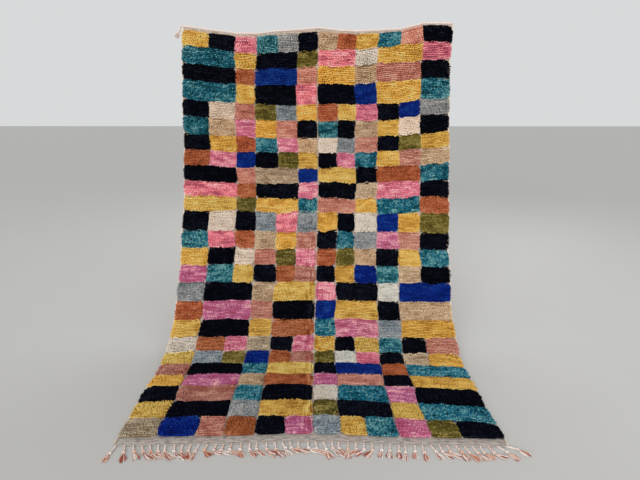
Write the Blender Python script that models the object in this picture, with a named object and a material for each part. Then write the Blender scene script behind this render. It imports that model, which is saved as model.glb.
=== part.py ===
"""Hand-knotted wool rug in a block check, hung by its top edge.

The rug falls in a hanging-chain curve, because its foot is drawn forward along the floor, and its
last half metre lies flat. X runs across the rug, +Y points away from the viewer and +Z up. The
origin is on the floor, under the middle of the rug's box. All sizes are in metres.
"""

import math
import random

import bmesh
import bpy
from mathutils import Vector

# The cloth as woven
RUG_WIDTH = 1.500  # over the side cords
HANG_LENGTH = 1.930  # from the top edge down to where the cloth meets the floor
FOOT_LENGTH = 0.515  # lying flat on the floor
HANG_CURVE = 0.320  # parameter of the hanging-chain curve: its radius where it meets the floor
TOP_BAND = 0.015  # flat-woven end above the pile
FOOT_BAND = 0.038  # flat-woven end below the pile
GROUND = 0.004  # thickness of the flat-woven ground
PILE_TOP = 0.018  # underside of the ground to the top of the pile
GROOVE_TOP = 0.0125  # the same at the grooves between blocks
CREASE_TOP = 0.0095  # the same along the middle crease, where the rug was stored folded
GROOVE_HALF = 0.009  # half the width of a groove
MARGIN = 0.006  # bare ground beside the pile
RIM_ROUND = 0.0035  # how far in from its rim the pile reaches the height of a groove
BEND_FROM = 1.17  # from here to the floor the cloth bends enough to need a line within each row
BEND_TO = 2.02
COLUMN_WIDTHS = (0.138, 0.149, 0.113, 0.121, 0.116, 0.113, 0.111, 0.103, 0.122, 0.124, 0.121, 0.152)
ROW_HEIGHTS = (
    0.097, 0.089, 0.089, 0.112, 0.088, 0.096, 0.085, 0.087, 0.087, 0.082, 0.081, 0.112, 0.097,
    0.096, 0.096, 0.102, 0.104, 0.101, 0.092, 0.083, 0.098, 0.094, 0.122, 0.112, 0.108,
)
CREASE_COLUMN = 6  # the crease lies between the sixth and seventh columns

# Bands of rows: how many rows, and the columns that join the next one into a long block
ROW_BANDS = (
    {"rows": 1, "joined": ()},
    {"rows": 3, "joined": (0, 3, 6, 9)},
    {"rows": 4, "joined": ()},
    {"rows": 3, "joined": (0, 3, 6, 9)},
    {"rows": 4, "joined": ()},
    {"rows": 3, "joined": (1, 4, 7, 10)},
    {"rows": 2, "joined": ()},
    {"rows": 4, "joined": (1, 4, 7, 10)},
    {"rows": 1, "joined": ()},
)

# How it hangs: along the top edge, how far each place is pulled up
TOP_PULL = (
    {"across": -0.750, "up": 0.026},
    {"across": -0.700, "up": 0.024},
    {"across": -0.520, "up": -0.012},
    {"across": -0.360, "up": -0.015},
    {"across": -0.260, "up": 0.006},
    {"across": -0.160, "up": 0.002},
    {"across": -0.030, "up": 0.017},
    {"across": 0.180, "up": -0.003},
    {"across": 0.430, "up": 0.008},
    {"across": 0.660, "up": 0.047},
    {"across": 0.750, "up": 0.036},
)
# Along the foot, how far each place is drawn towards the viewer
FOOT_DRAW = (
    {"across": -0.750, "forward": 0.020},
    {"across": -0.350, "forward": 0.010},
    {"across": -0.050, "forward": -0.007},
    {"across": 0.100, "forward": -0.004},
    {"across": 0.350, "forward": 0.012},
    {"across": 0.750, "forward": 0.015},
)
# How far the ends of the woven rows lie above their middles
ROW_BOW = (
    {"down": 0.00, "left": 0.000, "right": 0.000},
    {"down": 0.41, "left": 0.030, "right": 0.031},
    {"down": 0.77, "left": 0.016, "right": 0.036},
    {"down": 1.02, "left": 0.012, "right": -0.008},
    {"down": 1.42, "left": 0.000, "right": -0.006},
    {"down": 1.70, "left": -0.012, "right": -0.009},
    {"down": 1.88, "left": -0.020, "right": -0.038},
    {"down": 2.07, "left": -0.020, "right": -0.044},
    {"down": 2.30, "left": -0.006, "right": -0.034},
    {"down": 2.45, "left": 0.000, "right": 0.000},
)
# How far the cloth wanders sideways on its way down
SWAY = (
    {"down": 0.00, "right": 0.006},
    {"down": 0.25, "right": -0.002},
    {"down": 0.85, "right": 0.004},
    {"down": 1.25, "right": -0.005},
    {"down": 1.75, "right": -0.013},
    {"down": 2.20, "right": -0.012},
    {"down": 2.45, "right": -0.003},
)
PULL_FADE = 1.10  # how far down the pull of the top edge is felt
BAND_FADE = 0.05  # how far down the half of it that only stretches the flat-woven end is felt
DRAW_FADE = 0.60  # how far up from the foot the draw is felt
EDGE_WAVE = 0.005  # waviness of the side edges
WAVE_RATE = 19.0  # radians per metre of length
SOFT_FOLD = 0.008  # depth of the soft folds in the hanging part
FOLD_RISE = 0.7  # how far above the floor the folds reach their full depth
UPPER_FOLD = {"width": 0.62, "start": 0.15, "fade": 1.3}  # fades out this far down
LOWER_FOLD = {"width": 1.15, "start": -0.10, "drift": 0.12, "share": 0.6}
BLOCK_WOBBLE = 0.006  # how far the corners of the blocks stray

# Side cords, top cord and its tail
CORD_WIDTH = 0.008
CORD_HEIGHT = 0.007
TOP_CORD_RADIUS = 0.0055
TOP_CORD_ABOVE = 0.0070  # from the cloth's top edge up to the middle of the cord
TOP_CORD_STEPS = 44
TOP_CORD_END = 0.7  # share of its radius that the cord keeps at its ends
TAIL_LENGTH = 0.070
TAIL_OFFSET = Vector((-0.0066, 0.0, 0.0))  # from the corner of the cloth to the root of the tail
TAIL_LEAN = Vector((-0.50, -0.05, -1.0))
PIECE_GAP = 0.0003
# Round the section of a side cord: shares of its width and height
SIDE_CORD_CORNERS = (
    {"out": 0.0, "lift": 0.25},
    {"out": 0.0, "lift": 0.75},
    {"out": 0.5, "lift": 1.0},
    {"out": 1.0, "lift": 0.7},
    {"out": 1.0, "lift": 0.3},
    {"out": 0.5, "lift": 0.08},
)
# Along the tail: a knot and a spread tip
TAIL_SECTIONS = (
    {"along": 0.00, "radius": 0.0030},
    {"along": 0.35, "radius": 0.0034},
    {"along": 0.45, "radius": 0.0056},
    {"along": 0.55, "radius": 0.0036},
    {"along": 0.82, "radius": 0.0068},
    {"along": 1.00, "radius": 0.0030},
)

# Fringe
STRAND_COUNT = 48
FRINGE_GAP = 0.0006  # between the end of the cloth and the strip of the fringe
STRIP_DEPTH = 0.010
STRAND_WIDTH = 0.0065
STRAND_SPREAD = 0.0045  # how far a strand may stand off its even place
# Along a strand: distance from the strip as a share of the length, width and height
STRAND_SECTIONS = (
    {"along": 0.20, "width": 0.0060, "height": 0.0055},
    {"along": 0.42, "width": 0.0056, "height": 0.0055},
    {"along": 0.50, "width": 0.0115, "height": 0.0100},
    {"along": 0.58, "width": 0.0062, "height": 0.0058},
    {"along": 0.80, "width": 0.0130, "height": 0.0070},
    {"along": 1.00, "width": 0.0070, "height": 0.0035},
)
KNOT_ALONG = 0.50  # the tip beyond the knot turns its own way
# Groups of strands: how many, how long, and the turn of the cord and of its tip, in degrees
# from straight forward, positive to the right
STRAND_GROUPS = (
    {"strands": 1, "length": 0.085, "cord": -6, "tip": -8},
    {"strands": 2, "length": 0.080, "cord": 22, "tip": 15},
    {"strands": 2, "length": 0.078, "cord": 26, "tip": 34},
    {"strands": 4, "length": 0.074, "cord": 12, "tip": 29},
    {"strands": 1, "length": 0.076, "cord": 0, "tip": 4},
    {"strands": 1, "length": 0.076, "cord": -8, "tip": -14},
    {"strands": 4, "length": 0.068, "cord": -4, "tip": 42},
    {"strands": 1, "length": 0.072, "cord": 4, "tip": 22},
    {"strands": 4, "length": 0.074, "cord": 6, "tip": 29},
    {"strands": 1, "length": 0.074, "cord": 22, "tip": 24},
    {"strands": 4, "length": 0.068, "cord": 4, "tip": 39},
    {"strands": 1, "length": 0.080, "cord": 14, "tip": 18},
    {"strands": 2, "length": 0.068, "cord": 2, "tip": 28},
    {"strands": 1, "length": 0.076, "cord": -2, "tip": -4},
    {"strands": 3, "length": 0.066, "cord": -4, "tip": -34},
    {"strands": 6, "length": 0.070, "cord": -8, "tip": -5},
    {"strands": 1, "length": 0.072, "cord": 18, "tip": 24},
    {"strands": 2, "length": 0.066, "cord": 0, "tip": 34},
    {"strands": 1, "length": 0.078, "cord": 18, "tip": 24},
    {"strands": 2, "length": 0.074, "cord": 12, "tip": 18},
    {"strands": 2, "length": 0.066, "cord": 4, "tip": 30},
    {"strands": 1, "length": 0.084, "cord": 38, "tip": 42},
    {"strands": 1, "length": 0.076, "cord": 54, "tip": 50},
)
ANGLE_BLEND = 0.5  # how much of its neighbours' turn a strand takes
LENGTH_SPREAD = (0.92, 1.08)  # shares of its group's length
STRAND_SEED = 35
SHARP_ANGLE = 35  # degrees, past which an edge isn't shaded smooth

MATERIALS = {
    "pile_wool": {"colour": (0.47, 0.33, 0.22, 1.0), "roughness": 0.95},
    "ground_wool": {"colour": (0.62, 0.55, 0.48, 1.0), "roughness": 0.92},
    "fringe_wool": {"colour": (0.66, 0.56, 0.50, 1.0), "roughness": 0.92},
}

# The middle of the whole rug's box on the floor, from the middle of the line where it meets the floor
ORIGIN = Vector((0.007, 0.0927, 0.0))

CLOTH_WIDTH = RUG_WIDTH - 2 * (CORD_WIDTH + PIECE_GAP)
RUG_LENGTH = HANG_LENGTH + FOOT_LENGTH


def clear_scene():
    for existing in list(bpy.data.objects):
        bpy.data.objects.remove(existing, do_unlink=True)


def make_material(name):
    settings = MATERIALS[name]
    material = bpy.data.materials.new(name)
    material.use_nodes = True
    shader = material.node_tree.nodes["Principled BSDF"]
    shader.inputs["Base Color"].default_value = settings["colour"]
    shader.inputs["Roughness"].default_value = settings["roughness"]
    shader.inputs["Metallic"].default_value = 0.0
    material.diffuse_color = settings["colour"]
    return material


def smooth(share):
    share = min(1.0, max(0.0, share))
    return share * share * (3.0 - 2.0 * share)


def eased(table, place, key, value):
    """The value at a place, easing from each row of the table to the next."""
    if place <= key(table[0]):
        return value(table[0])
    for low, high in zip(table, table[1:]):
        if place <= key(high):
            share = (place - key(low)) / (key(high) - key(low))
            return value(low) + (value(high) - value(low)) * smooth(share)
    return value(table[-1])


def ruled(places, place, value):
    """A value that runs straight from each of the places to the next."""
    for low, high in zip(places, places[1:]):
        if place <= high:
            break
    share = (place - low) / (high - low)
    return value(low) + (value(high) - value(low)) * share


def main_places(lines):
    return sorted({line["at"] for line in lines if line["main"]})


def pull_at(across):
    """How far the top edge is pulled up."""

    def pull(place):
        return eased(TOP_PULL, place, lambda row: row["across"], lambda row: row["up"])

    return ruled(main_places(across_lines()), across, pull)


def draw_at(across):
    """How far the foot is drawn towards the viewer."""

    def draw(place):
        return eased(FOOT_DRAW, place, lambda row: row["across"], lambda row: row["forward"])

    return ruled(main_places(across_lines()), across, draw)


def side_at(across, down):
    """Where a place lies sideways."""

    def side(place):
        wave = EDGE_WAVE * math.sin(WAVE_RATE * place + across) * across / RUG_WIDTH
        sway = eased(SWAY, place, lambda row: row["down"], lambda row: row["right"])
        return across + wave + sway

    return ruled(main_places(down_lines()), down, side)


def arc_at(across, down):
    """Where a place on the cloth lies along the hanging curve: 0 where it meets the floor."""
    pull_share = 0.5 * max(0.0, 1.0 - down / PULL_FADE) ** 2
    pull_share += 0.5 * min(1.0, max(0.0, 1.0 - down / BAND_FADE))
    draw_share = max(0.0, 1.0 - (RUG_LENGTH - down) / DRAW_FADE) ** 2
    end = "left" if across < 0.0 else "right"
    bow = eased(ROW_BOW, down, lambda row: row["down"], lambda row: row[end])
    bow *= (2.0 * across / RUG_WIDTH) ** 2
    return HANG_LENGTH - down + pull_at(across) * pull_share + bow - draw_at(across) * draw_share


def fold_at(across, down, arc):
    """Soft upright folds between the places that hold the top edge, fading out at the floor."""
    if arc <= 0.0:
        return 0.0
    upper = math.sin(2.0 * math.pi * (across / UPPER_FOLD["width"] + UPPER_FOLD["start"]))
    upper *= max(0.0, 1.0 - down / UPPER_FOLD["fade"])
    lower_place = across / LOWER_FOLD["width"] + LOWER_FOLD["start"] + LOWER_FOLD["drift"] * down
    lower = math.sin(2.0 * math.pi * lower_place) * LOWER_FOLD["share"]
    return SOFT_FOLD * (upper + lower) * smooth(arc / FOLD_RISE)


def cloth_point(across, down, lift):
    """A point at a height over the underside of the cloth."""
    arc = arc_at(across, down)
    lift = lift + fold_at(across, down, arc)
    side = side_at(across, down)
    if arc <= 0.0:
        return Vector((side, arc, lift)) - ORIGIN
    chain = math.hypot(HANG_CURVE, arc)
    back = HANG_CURVE * math.asinh(arc / HANG_CURVE) - lift * arc / chain
    up = chain - HANG_CURVE + lift * HANG_CURVE / chain
    return Vector((side, back, up)) - ORIGIN


def grid_line(at, zone, near=None, row=None):
    """One line of the grid: its place, its zone, the block edge it belongs to, and its row."""
    main = zone in ("rim", "edge", "bend")
    return {"at": at, "zone": zone, "main": main, "near": near, "row": row}


def across_lines():
    """Grid lines across the cloth."""
    half = CLOTH_WIDTH / 2
    share = (CLOTH_WIDTH - 2 * MARGIN) / sum(COLUMN_WIDTHS)
    lines = [grid_line(-half, "rim"), grid_line(-half + MARGIN, "bare")]
    lines.append(grid_line(-half + MARGIN + RIM_ROUND, "shoulder"))
    lines.append(grid_line(-half + MARGIN + 3 * RIM_ROUND, "block"))
    place = -half + MARGIN
    for number, width in enumerate(COLUMN_WIDTHS[:-1], start=1):
        place += width * share
        lines.append(grid_line(place - GROOVE_HALF, "block", number))
        lines.append(grid_line(place, "edge", number))
        lines.append(grid_line(place + GROOVE_HALF, "block", number))
    lines.append(grid_line(half - MARGIN - 3 * RIM_ROUND, "block"))
    lines.append(grid_line(half - MARGIN - RIM_ROUND, "shoulder"))
    lines += [grid_line(half - MARGIN, "bare"), grid_line(half, "rim")]
    return lines


def down_lines():
    """Grid lines down the cloth."""
    last = len(ROW_HEIGHTS) - 1
    foot = RUG_LENGTH - FOOT_BAND
    share = (foot - TOP_BAND) / sum(ROW_HEIGHTS)
    lines = [grid_line(0.0, "rim"), grid_line(TOP_BAND, "rim")]
    lines.append(grid_line(TOP_BAND + RIM_ROUND, "shoulder", row=0))
    lines.append(grid_line(TOP_BAND + 3 * RIM_ROUND, "block", row=0))
    place = TOP_BAND
    for row, height in enumerate(ROW_HEIGHTS):
        middle = place + height * share / 2
        place += height * share
        if BEND_FROM < middle < BEND_TO:
            lines.append(grid_line(middle, "bend", row=row))
        if row < last:
            lines.append(grid_line(place - GROOVE_HALF, "block", row + 1, row))
            lines.append(grid_line(place, "edge", row + 1, row))
            lines.append(grid_line(place + GROOVE_HALF, "block", row + 1, row + 1))
    lines.append(grid_line(foot - 3 * RIM_ROUND, "block", row=last))
    lines.append(grid_line(foot - RIM_ROUND, "shoulder", row=last))
    lines += [grid_line(foot, "rim"), grid_line(RUG_LENGTH, "rim")]
    return lines


def joined_columns(row):
    """The columns that join the next one in this row."""
    first = 0
    for band in ROW_BANDS:
        first += band["rows"]
        if row < first:
            return band["joined"]
    return ()


def height_of(column, line):
    """Height of the front face over the underside, where two grid lines cross."""
    zones = (column["zone"], line["zone"])
    if "rim" in zones or "bare" in zones:
        return GROUND
    if column["zone"] == "edge" and column["near"] == CREASE_COLUMN:
        return CREASE_TOP
    if "shoulder" in zones:
        return GROOVE_TOP
    column_groove = column["zone"] == "edge" and column["near"] - 1 not in joined_columns(line["row"])
    if line["zone"] == "edge" or column_groove:
        return GROOVE_TOP
    return PILE_TOP


def wobble_of(column, line):
    """How far a crossing of the grid strays, the same for all lines of one block corner."""
    if column["near"] is None or line["near"] is None:
        return (0.0, 0.0)
    stray = random.Random(100 * line["near"] + column["near"])
    across = 0.0 if column["near"] == CREASE_COLUMN else stray.uniform(-1.0, 1.0)
    return (BLOCK_WOBBLE * across, BLOCK_WOBBLE * stray.uniform(-1.0, 1.0))


def front_point(column, line):
    """A point of the front face."""
    across, down = wobble_of(column, line)
    return cloth_point(column["at"] + across, line["at"] + down, height_of(column, line))


def closed_sheet(name, material):
    """The cloth: a finely ruled front face, a coarser underside, and the rims between them."""
    columns = across_lines()
    lines = down_lines()
    shape = bmesh.new()
    front = [[shape.verts.new(front_point(c, r)) for c in columns] for r in lines]
    main_columns = [i for i, c in enumerate(columns) if c["main"]]
    main_lines = [i for i, r in enumerate(lines) if r["main"]]
    under = {
        (j, i): shape.verts.new(cloth_point(columns[i]["at"], lines[j]["at"], 0.0))
        for j in main_lines
        for i in main_columns
    }
    for upper, lower in zip(front, front[1:]):
        for i in range(len(columns) - 1):
            shape.faces.new((upper[i], lower[i], lower[i + 1], upper[i + 1]))
    for j, below in zip(main_lines, main_lines[1:]):
        for i, right in zip(main_columns, main_columns[1:]):
            shape.faces.new((under[j, i], under[j, right], under[below, right], under[below, i]))
    first, last = main_columns[0], main_columns[-1]
    for j, below in zip(main_lines, main_lines[1:]):
        left_rim = [front[k][first] for k in range(j, below + 1)]
        shape.faces.new([*reversed(left_rim), under[j, first], under[below, first]])
        right_rim = [front[k][last] for k in range(j, below + 1)]
        shape.faces.new([*right_rim, under[below, last], under[j, last]])
    top, foot = main_lines[0], main_lines[-1]
    for i, right in zip(main_columns, main_columns[1:]):
        top_rim = [front[top][k] for k in range(i, right + 1)]
        shape.faces.new([*top_rim, under[top, right], under[top, i]])
        foot_rim = [front[foot][k] for k in range(i, right + 1)]
        shape.faces.new([*reversed(foot_rim), under[foot, i], under[foot, right]])
    bmesh.ops.recalc_face_normals(shape, faces=shape.faces)
    return add_object(name, shape, material)


def add_object(name, shape, material):
    """Turns a bmesh into a smoothly shaded object with its material."""
    mesh = bpy.data.meshes.new(name)
    shape.to_mesh(mesh)
    shape.free()
    mesh.materials.append(material)
    mesh.shade_smooth()
    mesh.set_sharp_from_angle(angle=math.radians(SHARP_ANGLE))
    piece = bpy.data.objects.new(name, mesh)
    bpy.context.scene.collection.objects.link(piece)
    return piece


def bridged_rings(name, rings, material):
    """A closed piece from rings of equal point counts, with flat ends."""
    shape = bmesh.new()
    loops = [[shape.verts.new(point) for point in ring] for ring in rings]
    for ring, following in zip(loops, loops[1:]):
        for i in range(len(ring)):
            after = (i + 1) % len(ring)
            shape.faces.new((ring[i], ring[after], following[after], following[i]))
    shape.faces.new(loops[0])
    shape.faces.new(loops[-1])
    bmesh.ops.recalc_face_normals(shape, faces=shape.faces)
    return add_object(name, shape, material)


def side_cord(name, side, material):
    """The overcast side edge: a flattened cord that follows the cloth from top to foot."""
    inner = side * (CLOTH_WIDTH / 2 + PIECE_GAP)
    stops = sorted({line["at"] for line in down_lines() if line["main"]})
    rings = [
        [
            cloth_point(
                inner + side * corner["out"] * CORD_WIDTH, down, corner["lift"] * CORD_HEIGHT
            )
            for corner in SIDE_CORD_CORNERS
        ]
        for down in stops
    ]
    return bridged_rings(name, rings, material)


def ring_round(centre, forward, radius, sides):
    """Points round a centre, square to a direction."""
    forward = forward.normalized()
    first = forward.cross(Vector((0.0, 1.0, 0.0)))
    if first.length < 0.1:
        first = forward.cross(Vector((1.0, 0.0, 0.0)))
    first.normalize()
    second = forward.cross(first)
    return [
        centre
        + radius * (first * math.cos(2 * math.pi * k / sides) + second * math.sin(2 * math.pi * k / sides))
        for k in range(sides)
    ]


def top_cord(name, material):
    """The twined cord that closes the top edge."""
    half = RUG_WIDTH / 2 - TOP_CORD_RADIUS / 2
    centres = []
    for step in range(TOP_CORD_STEPS + 1):
        across = -half + 2 * half * step / TOP_CORD_STEPS
        centres.append(cloth_point(across, -TOP_CORD_ABOVE, GROUND / 2))
    rings = []
    for number, centre in enumerate(centres):
        before = centres[max(0, number - 1)]
        after = centres[min(TOP_CORD_STEPS, number + 1)]
        share = TOP_CORD_END if number in (0, TOP_CORD_STEPS) else 1.0
        rings.append(ring_round(centre, after - before, TOP_CORD_RADIUS * share, 8))
    return bridged_rings(name, rings, material)


def corner_tail(name, material):
    """The loose end of the top cord, which hangs beside the left corner."""
    corner = cloth_point(-RUG_WIDTH / 2, -TOP_CORD_RADIUS, GROUND / 2)
    start = corner + TAIL_OFFSET
    lean = TAIL_LEAN.normalized()
    rings = [
        ring_round(start + lean * TAIL_LENGTH * row["along"], lean, row["radius"], 6)
        for row in TAIL_SECTIONS
    ]
    return bridged_rings(name, rings, material)


def strand_plan():
    """Each strand's place, length and turns, from the table of groups."""
    groups = [group for group in STRAND_GROUPS for _ in range(group["strands"])]
    spread = random.Random(STRAND_SEED)
    pitch = (CLOTH_WIDTH - 2 * STRAND_WIDTH) / (STRAND_COUNT - 1)
    plan = []
    for number, group in enumerate(groups):
        before = groups[max(0, number - 1)]
        after = groups[min(len(groups) - 1, number + 1)]
        own = 1.0 - ANGLE_BLEND
        lone = group["strands"] == 1
        cord, tip = (
            group[part] if lone else group[part] * own + (before[part] + after[part]) / 2 * ANGLE_BLEND
            for part in ("cord", "tip")
        )
        shift = 0.0 if lone else spread.uniform(-STRAND_SPREAD, STRAND_SPREAD)
        plan.append(
            {
                "across": -CLOTH_WIDTH / 2 + STRAND_WIDTH + pitch * number + shift,
                "length": group["length"] * spread.uniform(*LENGTH_SPREAD),
                "cord": math.radians(cord),
                "tip": math.radians(tip),
            }
        )
    return plan


def drawn_out(shape, face, corners):
    """Extrudes a face and puts its four points at new corners."""
    made = bmesh.ops.extrude_discrete_faces(shape, faces=[face])
    new_face = made["faces"][0]
    for point, corner in zip(new_face.verts, corners):
        point.co = corner
    return new_face


def fringe(name, material):
    """A narrow strip along the foot with every strand drawn out of its front face."""
    plan = strand_plan()
    shape = bmesh.new()
    places = [-CLOTH_WIDTH / 2]
    for strand in plan:
        places += [strand["across"] - STRAND_WIDTH / 2, strand["across"] + STRAND_WIDTH / 2]
    places.append(CLOTH_WIDTH / 2)
    up = Vector((0.0, 0.0, GROUND))
    depth = Vector((0.0, STRIP_DEPTH, 0.0))
    gap = Vector((0.0, FRINGE_GAP, 0.0))
    sections = []
    for across in places:
        edge = cloth_point(across, RUG_LENGTH, 0.0) - gap - depth
        corners = (edge, edge + up, edge + up + depth, edge + depth)
        sections.append([shape.verts.new(corner) for corner in corners])
    roots = []
    for number, (left, right) in enumerate(zip(sections, sections[1:])):
        for i in range(4):
            after = (i + 1) % 4
            face = shape.faces.new((left[i], left[after], right[after], right[i]))
            if i == 0 and number % 2 == 1:
                roots.append(face)
    shape.faces.new(sections[0])
    shape.faces.new(sections[-1])
    bmesh.ops.recalc_face_normals(shape, faces=shape.faces)
    for face, strand in zip(roots, plan):
        draw_strand(shape, face, strand)
    bmesh.ops.recalc_face_normals(shape, faces=shape.faces)
    return add_object(name, shape, material)


def draw_strand(shape, face, strand):
    """One strand: cord, knot and spread tip, lying level on the floor."""
    place = cloth_point(strand["across"], RUG_LENGTH, 0.0)
    place.y -= FRINGE_GAP + STRIP_DEPTH
    done = 0.0
    for section in STRAND_SECTIONS:
        turn = strand["tip"] if section["along"] > KNOT_ALONG else strand["cord"]
        forward = Vector((math.sin(turn), -math.cos(turn), 0.0))
        right = Vector((math.cos(turn), math.sin(turn), 0.0))
        place = place + forward * strand["length"] * (section["along"] - done)
        done = section["along"]
        half = right * section["width"] / 2
        top = Vector((0.0, 0.0, section["height"]))
        corners = []
        for point in face.verts:
            on_right = (point.co - face.calc_center_median()).dot(right) > 0.0
            on_top = point.co.z > face.calc_center_median().z
            corners.append(place + (half if on_right else -half) + (top if on_top else Vector()))
        face = drawn_out(shape, face, corners)


def build():
    clear_scene()
    pile = make_material("pile_wool")
    ground = make_material("ground_wool")
    fringe_wool = make_material("fringe_wool")
    closed_sheet("rug_cloth", pile)
    side_cord("side_cord_left", -1, ground)
    side_cord("side_cord_right", 1, ground)
    top_cord("top_cord", ground)
    corner_tail("corner_tail", fringe_wool)
    fringe("foot_fringe", fringe_wool)


build()
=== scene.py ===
import math
import random

import bpy
import numpy as np
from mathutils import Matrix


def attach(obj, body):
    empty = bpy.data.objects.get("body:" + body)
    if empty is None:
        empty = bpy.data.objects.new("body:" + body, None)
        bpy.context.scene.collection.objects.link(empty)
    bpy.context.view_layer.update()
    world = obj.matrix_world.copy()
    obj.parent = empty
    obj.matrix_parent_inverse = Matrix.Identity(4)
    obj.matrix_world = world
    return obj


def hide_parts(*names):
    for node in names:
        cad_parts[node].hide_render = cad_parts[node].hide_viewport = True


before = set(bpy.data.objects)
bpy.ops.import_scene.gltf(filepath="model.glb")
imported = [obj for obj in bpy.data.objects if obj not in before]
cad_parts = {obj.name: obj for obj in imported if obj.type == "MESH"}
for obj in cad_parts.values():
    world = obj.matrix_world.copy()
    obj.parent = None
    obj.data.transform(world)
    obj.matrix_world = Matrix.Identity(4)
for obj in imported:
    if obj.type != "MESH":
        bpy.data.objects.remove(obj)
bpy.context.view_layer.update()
print("rug: frame loaded with", len(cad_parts), "nodes")


# Helpers for materials

def linear(red, green, blue):
    # a colour given in 0-255 steps, as Blender wants it
    steps = [part / 255 for part in (red, green, blue)]
    return tuple(s / 12.92 if s <= 0.04045 else ((s + 0.055) / 1.055) ** 2.4 for s in steps)


def newMaterial(name):
    material = bpy.data.materials.new(name)
    material.use_nodes = True
    tree = material.node_tree
    return material, tree, tree.nodes["Principled BSDF"]


def setInputs(tree, node, inputs):
    # a number or colour is set on its socket, and another node's output is joined to it
    for key, value in inputs.items():
        socket = node.inputs[key]
        if isinstance(value, bpy.types.NodeSocket):
            tree.links.new(value, socket)
        elif socket.type == "RGBA":
            socket.default_value = (*value, 1)
        else:
            socket.default_value = value


def addNode(tree, kind, inputs=None, **settings):
    node = tree.nodes.new(kind)
    for key, value in settings.items():
        setattr(node, key, value)
    setInputs(tree, node, inputs or {})
    return node


def objectPlace(tree):
    return addNode(tree, "ShaderNodeTexCoord").outputs["Object"]


def mapPlace(tree, name):
    return addNode(tree, "ShaderNodeUVMap", uv_map=name).outputs["UV"]


def valueOf(tree, name, output="Fac"):
    return addNode(tree, "ShaderNodeAttribute", attribute_name=name).outputs[output]


def ramp(tree, share, stops):
    node = addNode(tree, "ShaderNodeValToRGB", {"Fac": share})
    band = node.color_ramp
    while len(band.elements) < len(stops):
        band.elements.new(0.5)
    for element, (place, colour) in zip(band.elements, stops):
        element.position = place
        element.color = (*colour, 1)
    return node.outputs["Color"]


def rangeOf(tree, value, low, high, start=0.0, end=1.0):
    # a value from start to end, drawn out between low and high
    limits = {"Value": value, "From Min": start, "From Max": end, "To Min": low, "To Max": high}
    return addNode(tree, "ShaderNodeMapRange", limits).outputs["Result"]


def sums(tree, kind, *parts):
    return addNode(tree, "ShaderNodeMath", dict(enumerate(parts)), operation=kind).outputs[0]


def stirred(tree, value, noise, share):
    # the value with some of the noise in it, up and down
    return sums(tree, "MULTIPLY_ADD", sums(tree, "SUBTRACT", noise, 0.5), share, value)


def mixed(tree, share, first, second, kind="MIX"):
    inputs = {0: share, 6: first, 7: second}
    return addNode(tree, "ShaderNodeMix", inputs, data_type="RGBA", blend_type=kind).outputs[2]


def shaded(tree, colour, shade):
    return mixed(tree, 1.0, colour, shade, "MULTIPLY")


def noiseAt(tree, place, scale, detail, rough=0.5, squeeze=None):
    if squeeze:
        place = addNode(tree, "ShaderNodeMapping", {"Vector": place, "Scale": squeeze}).outputs["Vector"]
    inputs = {"Vector": place, "Scale": scale, "Detail": detail, "Roughness": rough}
    return addNode(tree, "ShaderNodeTexNoise", inputs).outputs["Fac"]


def bumped(tree, height, strength, distance):
    inputs = {"Height": height, "Strength": strength, "Distance": distance}
    return addNode(tree, "ShaderNodeBump", inputs).outputs["Normal"]


# Camera, floor and light

viewpoint = {
    "place": (0.035, -2.171, 1.239),
    "tiltDown": 15.54,  # degrees
    "turnLeft": 0.4,
    "lens": 27.0,
    "sensor": 36.0,
    "reach": 200.0,
}

floorLook = {
    "size": 60.0,
    "colour": (184, 183, 180),
    "darker": 0.97,  # the darker of its two tones
    "grain": 3.0,
    "rough": 0.9,
    "shine": 0.2,
}

skyLook = {"colour": (222, 223, 224), "strength": 0.94}

# place, what it shines at, size (the sun's in degrees, a wide soft source) and power
lights = {
    "key_light": {
        "kind": "SUN", "place": (-1.7, -4.6, 2.3), "aim": (0, 0.2, 0.6), "size": 38.0, "power": 2.30,
    },
    "fill_light": {
        "kind": "AREA", "place": (2.4, -2.7, 2.3), "aim": (0, 0.1, 0.6), "size": 2.4, "power": 26.0,
    },
    "back_light": {
        "kind": "AREA", "place": (0.6, 2.8, 3.0), "aim": (0, 0.7, 1.0), "size": 2.6, "power": 46.0,
    },
}


def addCamera():
    bpy.ops.object.select_all(action="DESELECT")
    turn = (math.radians(90 - viewpoint["tiltDown"]), 0, math.radians(viewpoint["turnLeft"]))
    bpy.ops.object.camera_add(location=viewpoint["place"], rotation=turn)
    camera = bpy.context.object
    camera.name = "rug_camera"
    camera.data.lens = viewpoint["lens"]
    camera.data.sensor_width = viewpoint["sensor"]
    camera.data.clip_end = viewpoint["reach"]
    bpy.context.scene.camera = camera


def addFloor():
    bpy.ops.object.select_all(action="DESELECT")
    bpy.ops.mesh.primitive_plane_add(size=floorLook["size"], location=(0, 0, 0))
    floor = bpy.context.object
    floor.name = "studio_floor"
    material, tree, shader = newMaterial("painted floor")
    pale = linear(*floorLook["colour"])
    dark = tuple(part * floorLook["darker"] for part in pale)
    grain = noiseAt(tree, objectPlace(tree), floorLook["grain"], 4.0)
    setInputs(tree, shader, {
        "Base Color": ramp(tree, grain, ((0.0, dark), (1.0, pale))),
        "Roughness": floorLook["rough"], "Specular IOR Level": floorLook["shine"],
    })
    floor.data.materials.append(material)


def addLight(name, light):
    bpy.ops.object.select_all(action="DESELECT")
    bpy.ops.object.light_add(type=light["kind"], location=light["place"])
    lamp = bpy.context.object
    lamp.name = name
    reach = [a - p for a, p in zip(light["aim"], light["place"])]
    flat = math.hypot(reach[0], reach[1])
    lamp.rotation_euler = (math.atan2(flat, -reach[2]), 0, math.atan2(-reach[0], reach[1]))
    if light["kind"] == "SUN":
        lamp.data.angle = math.radians(light["size"])
    else:
        lamp.data.size = light["size"]
    lamp.data.energy = light["power"]


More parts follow.
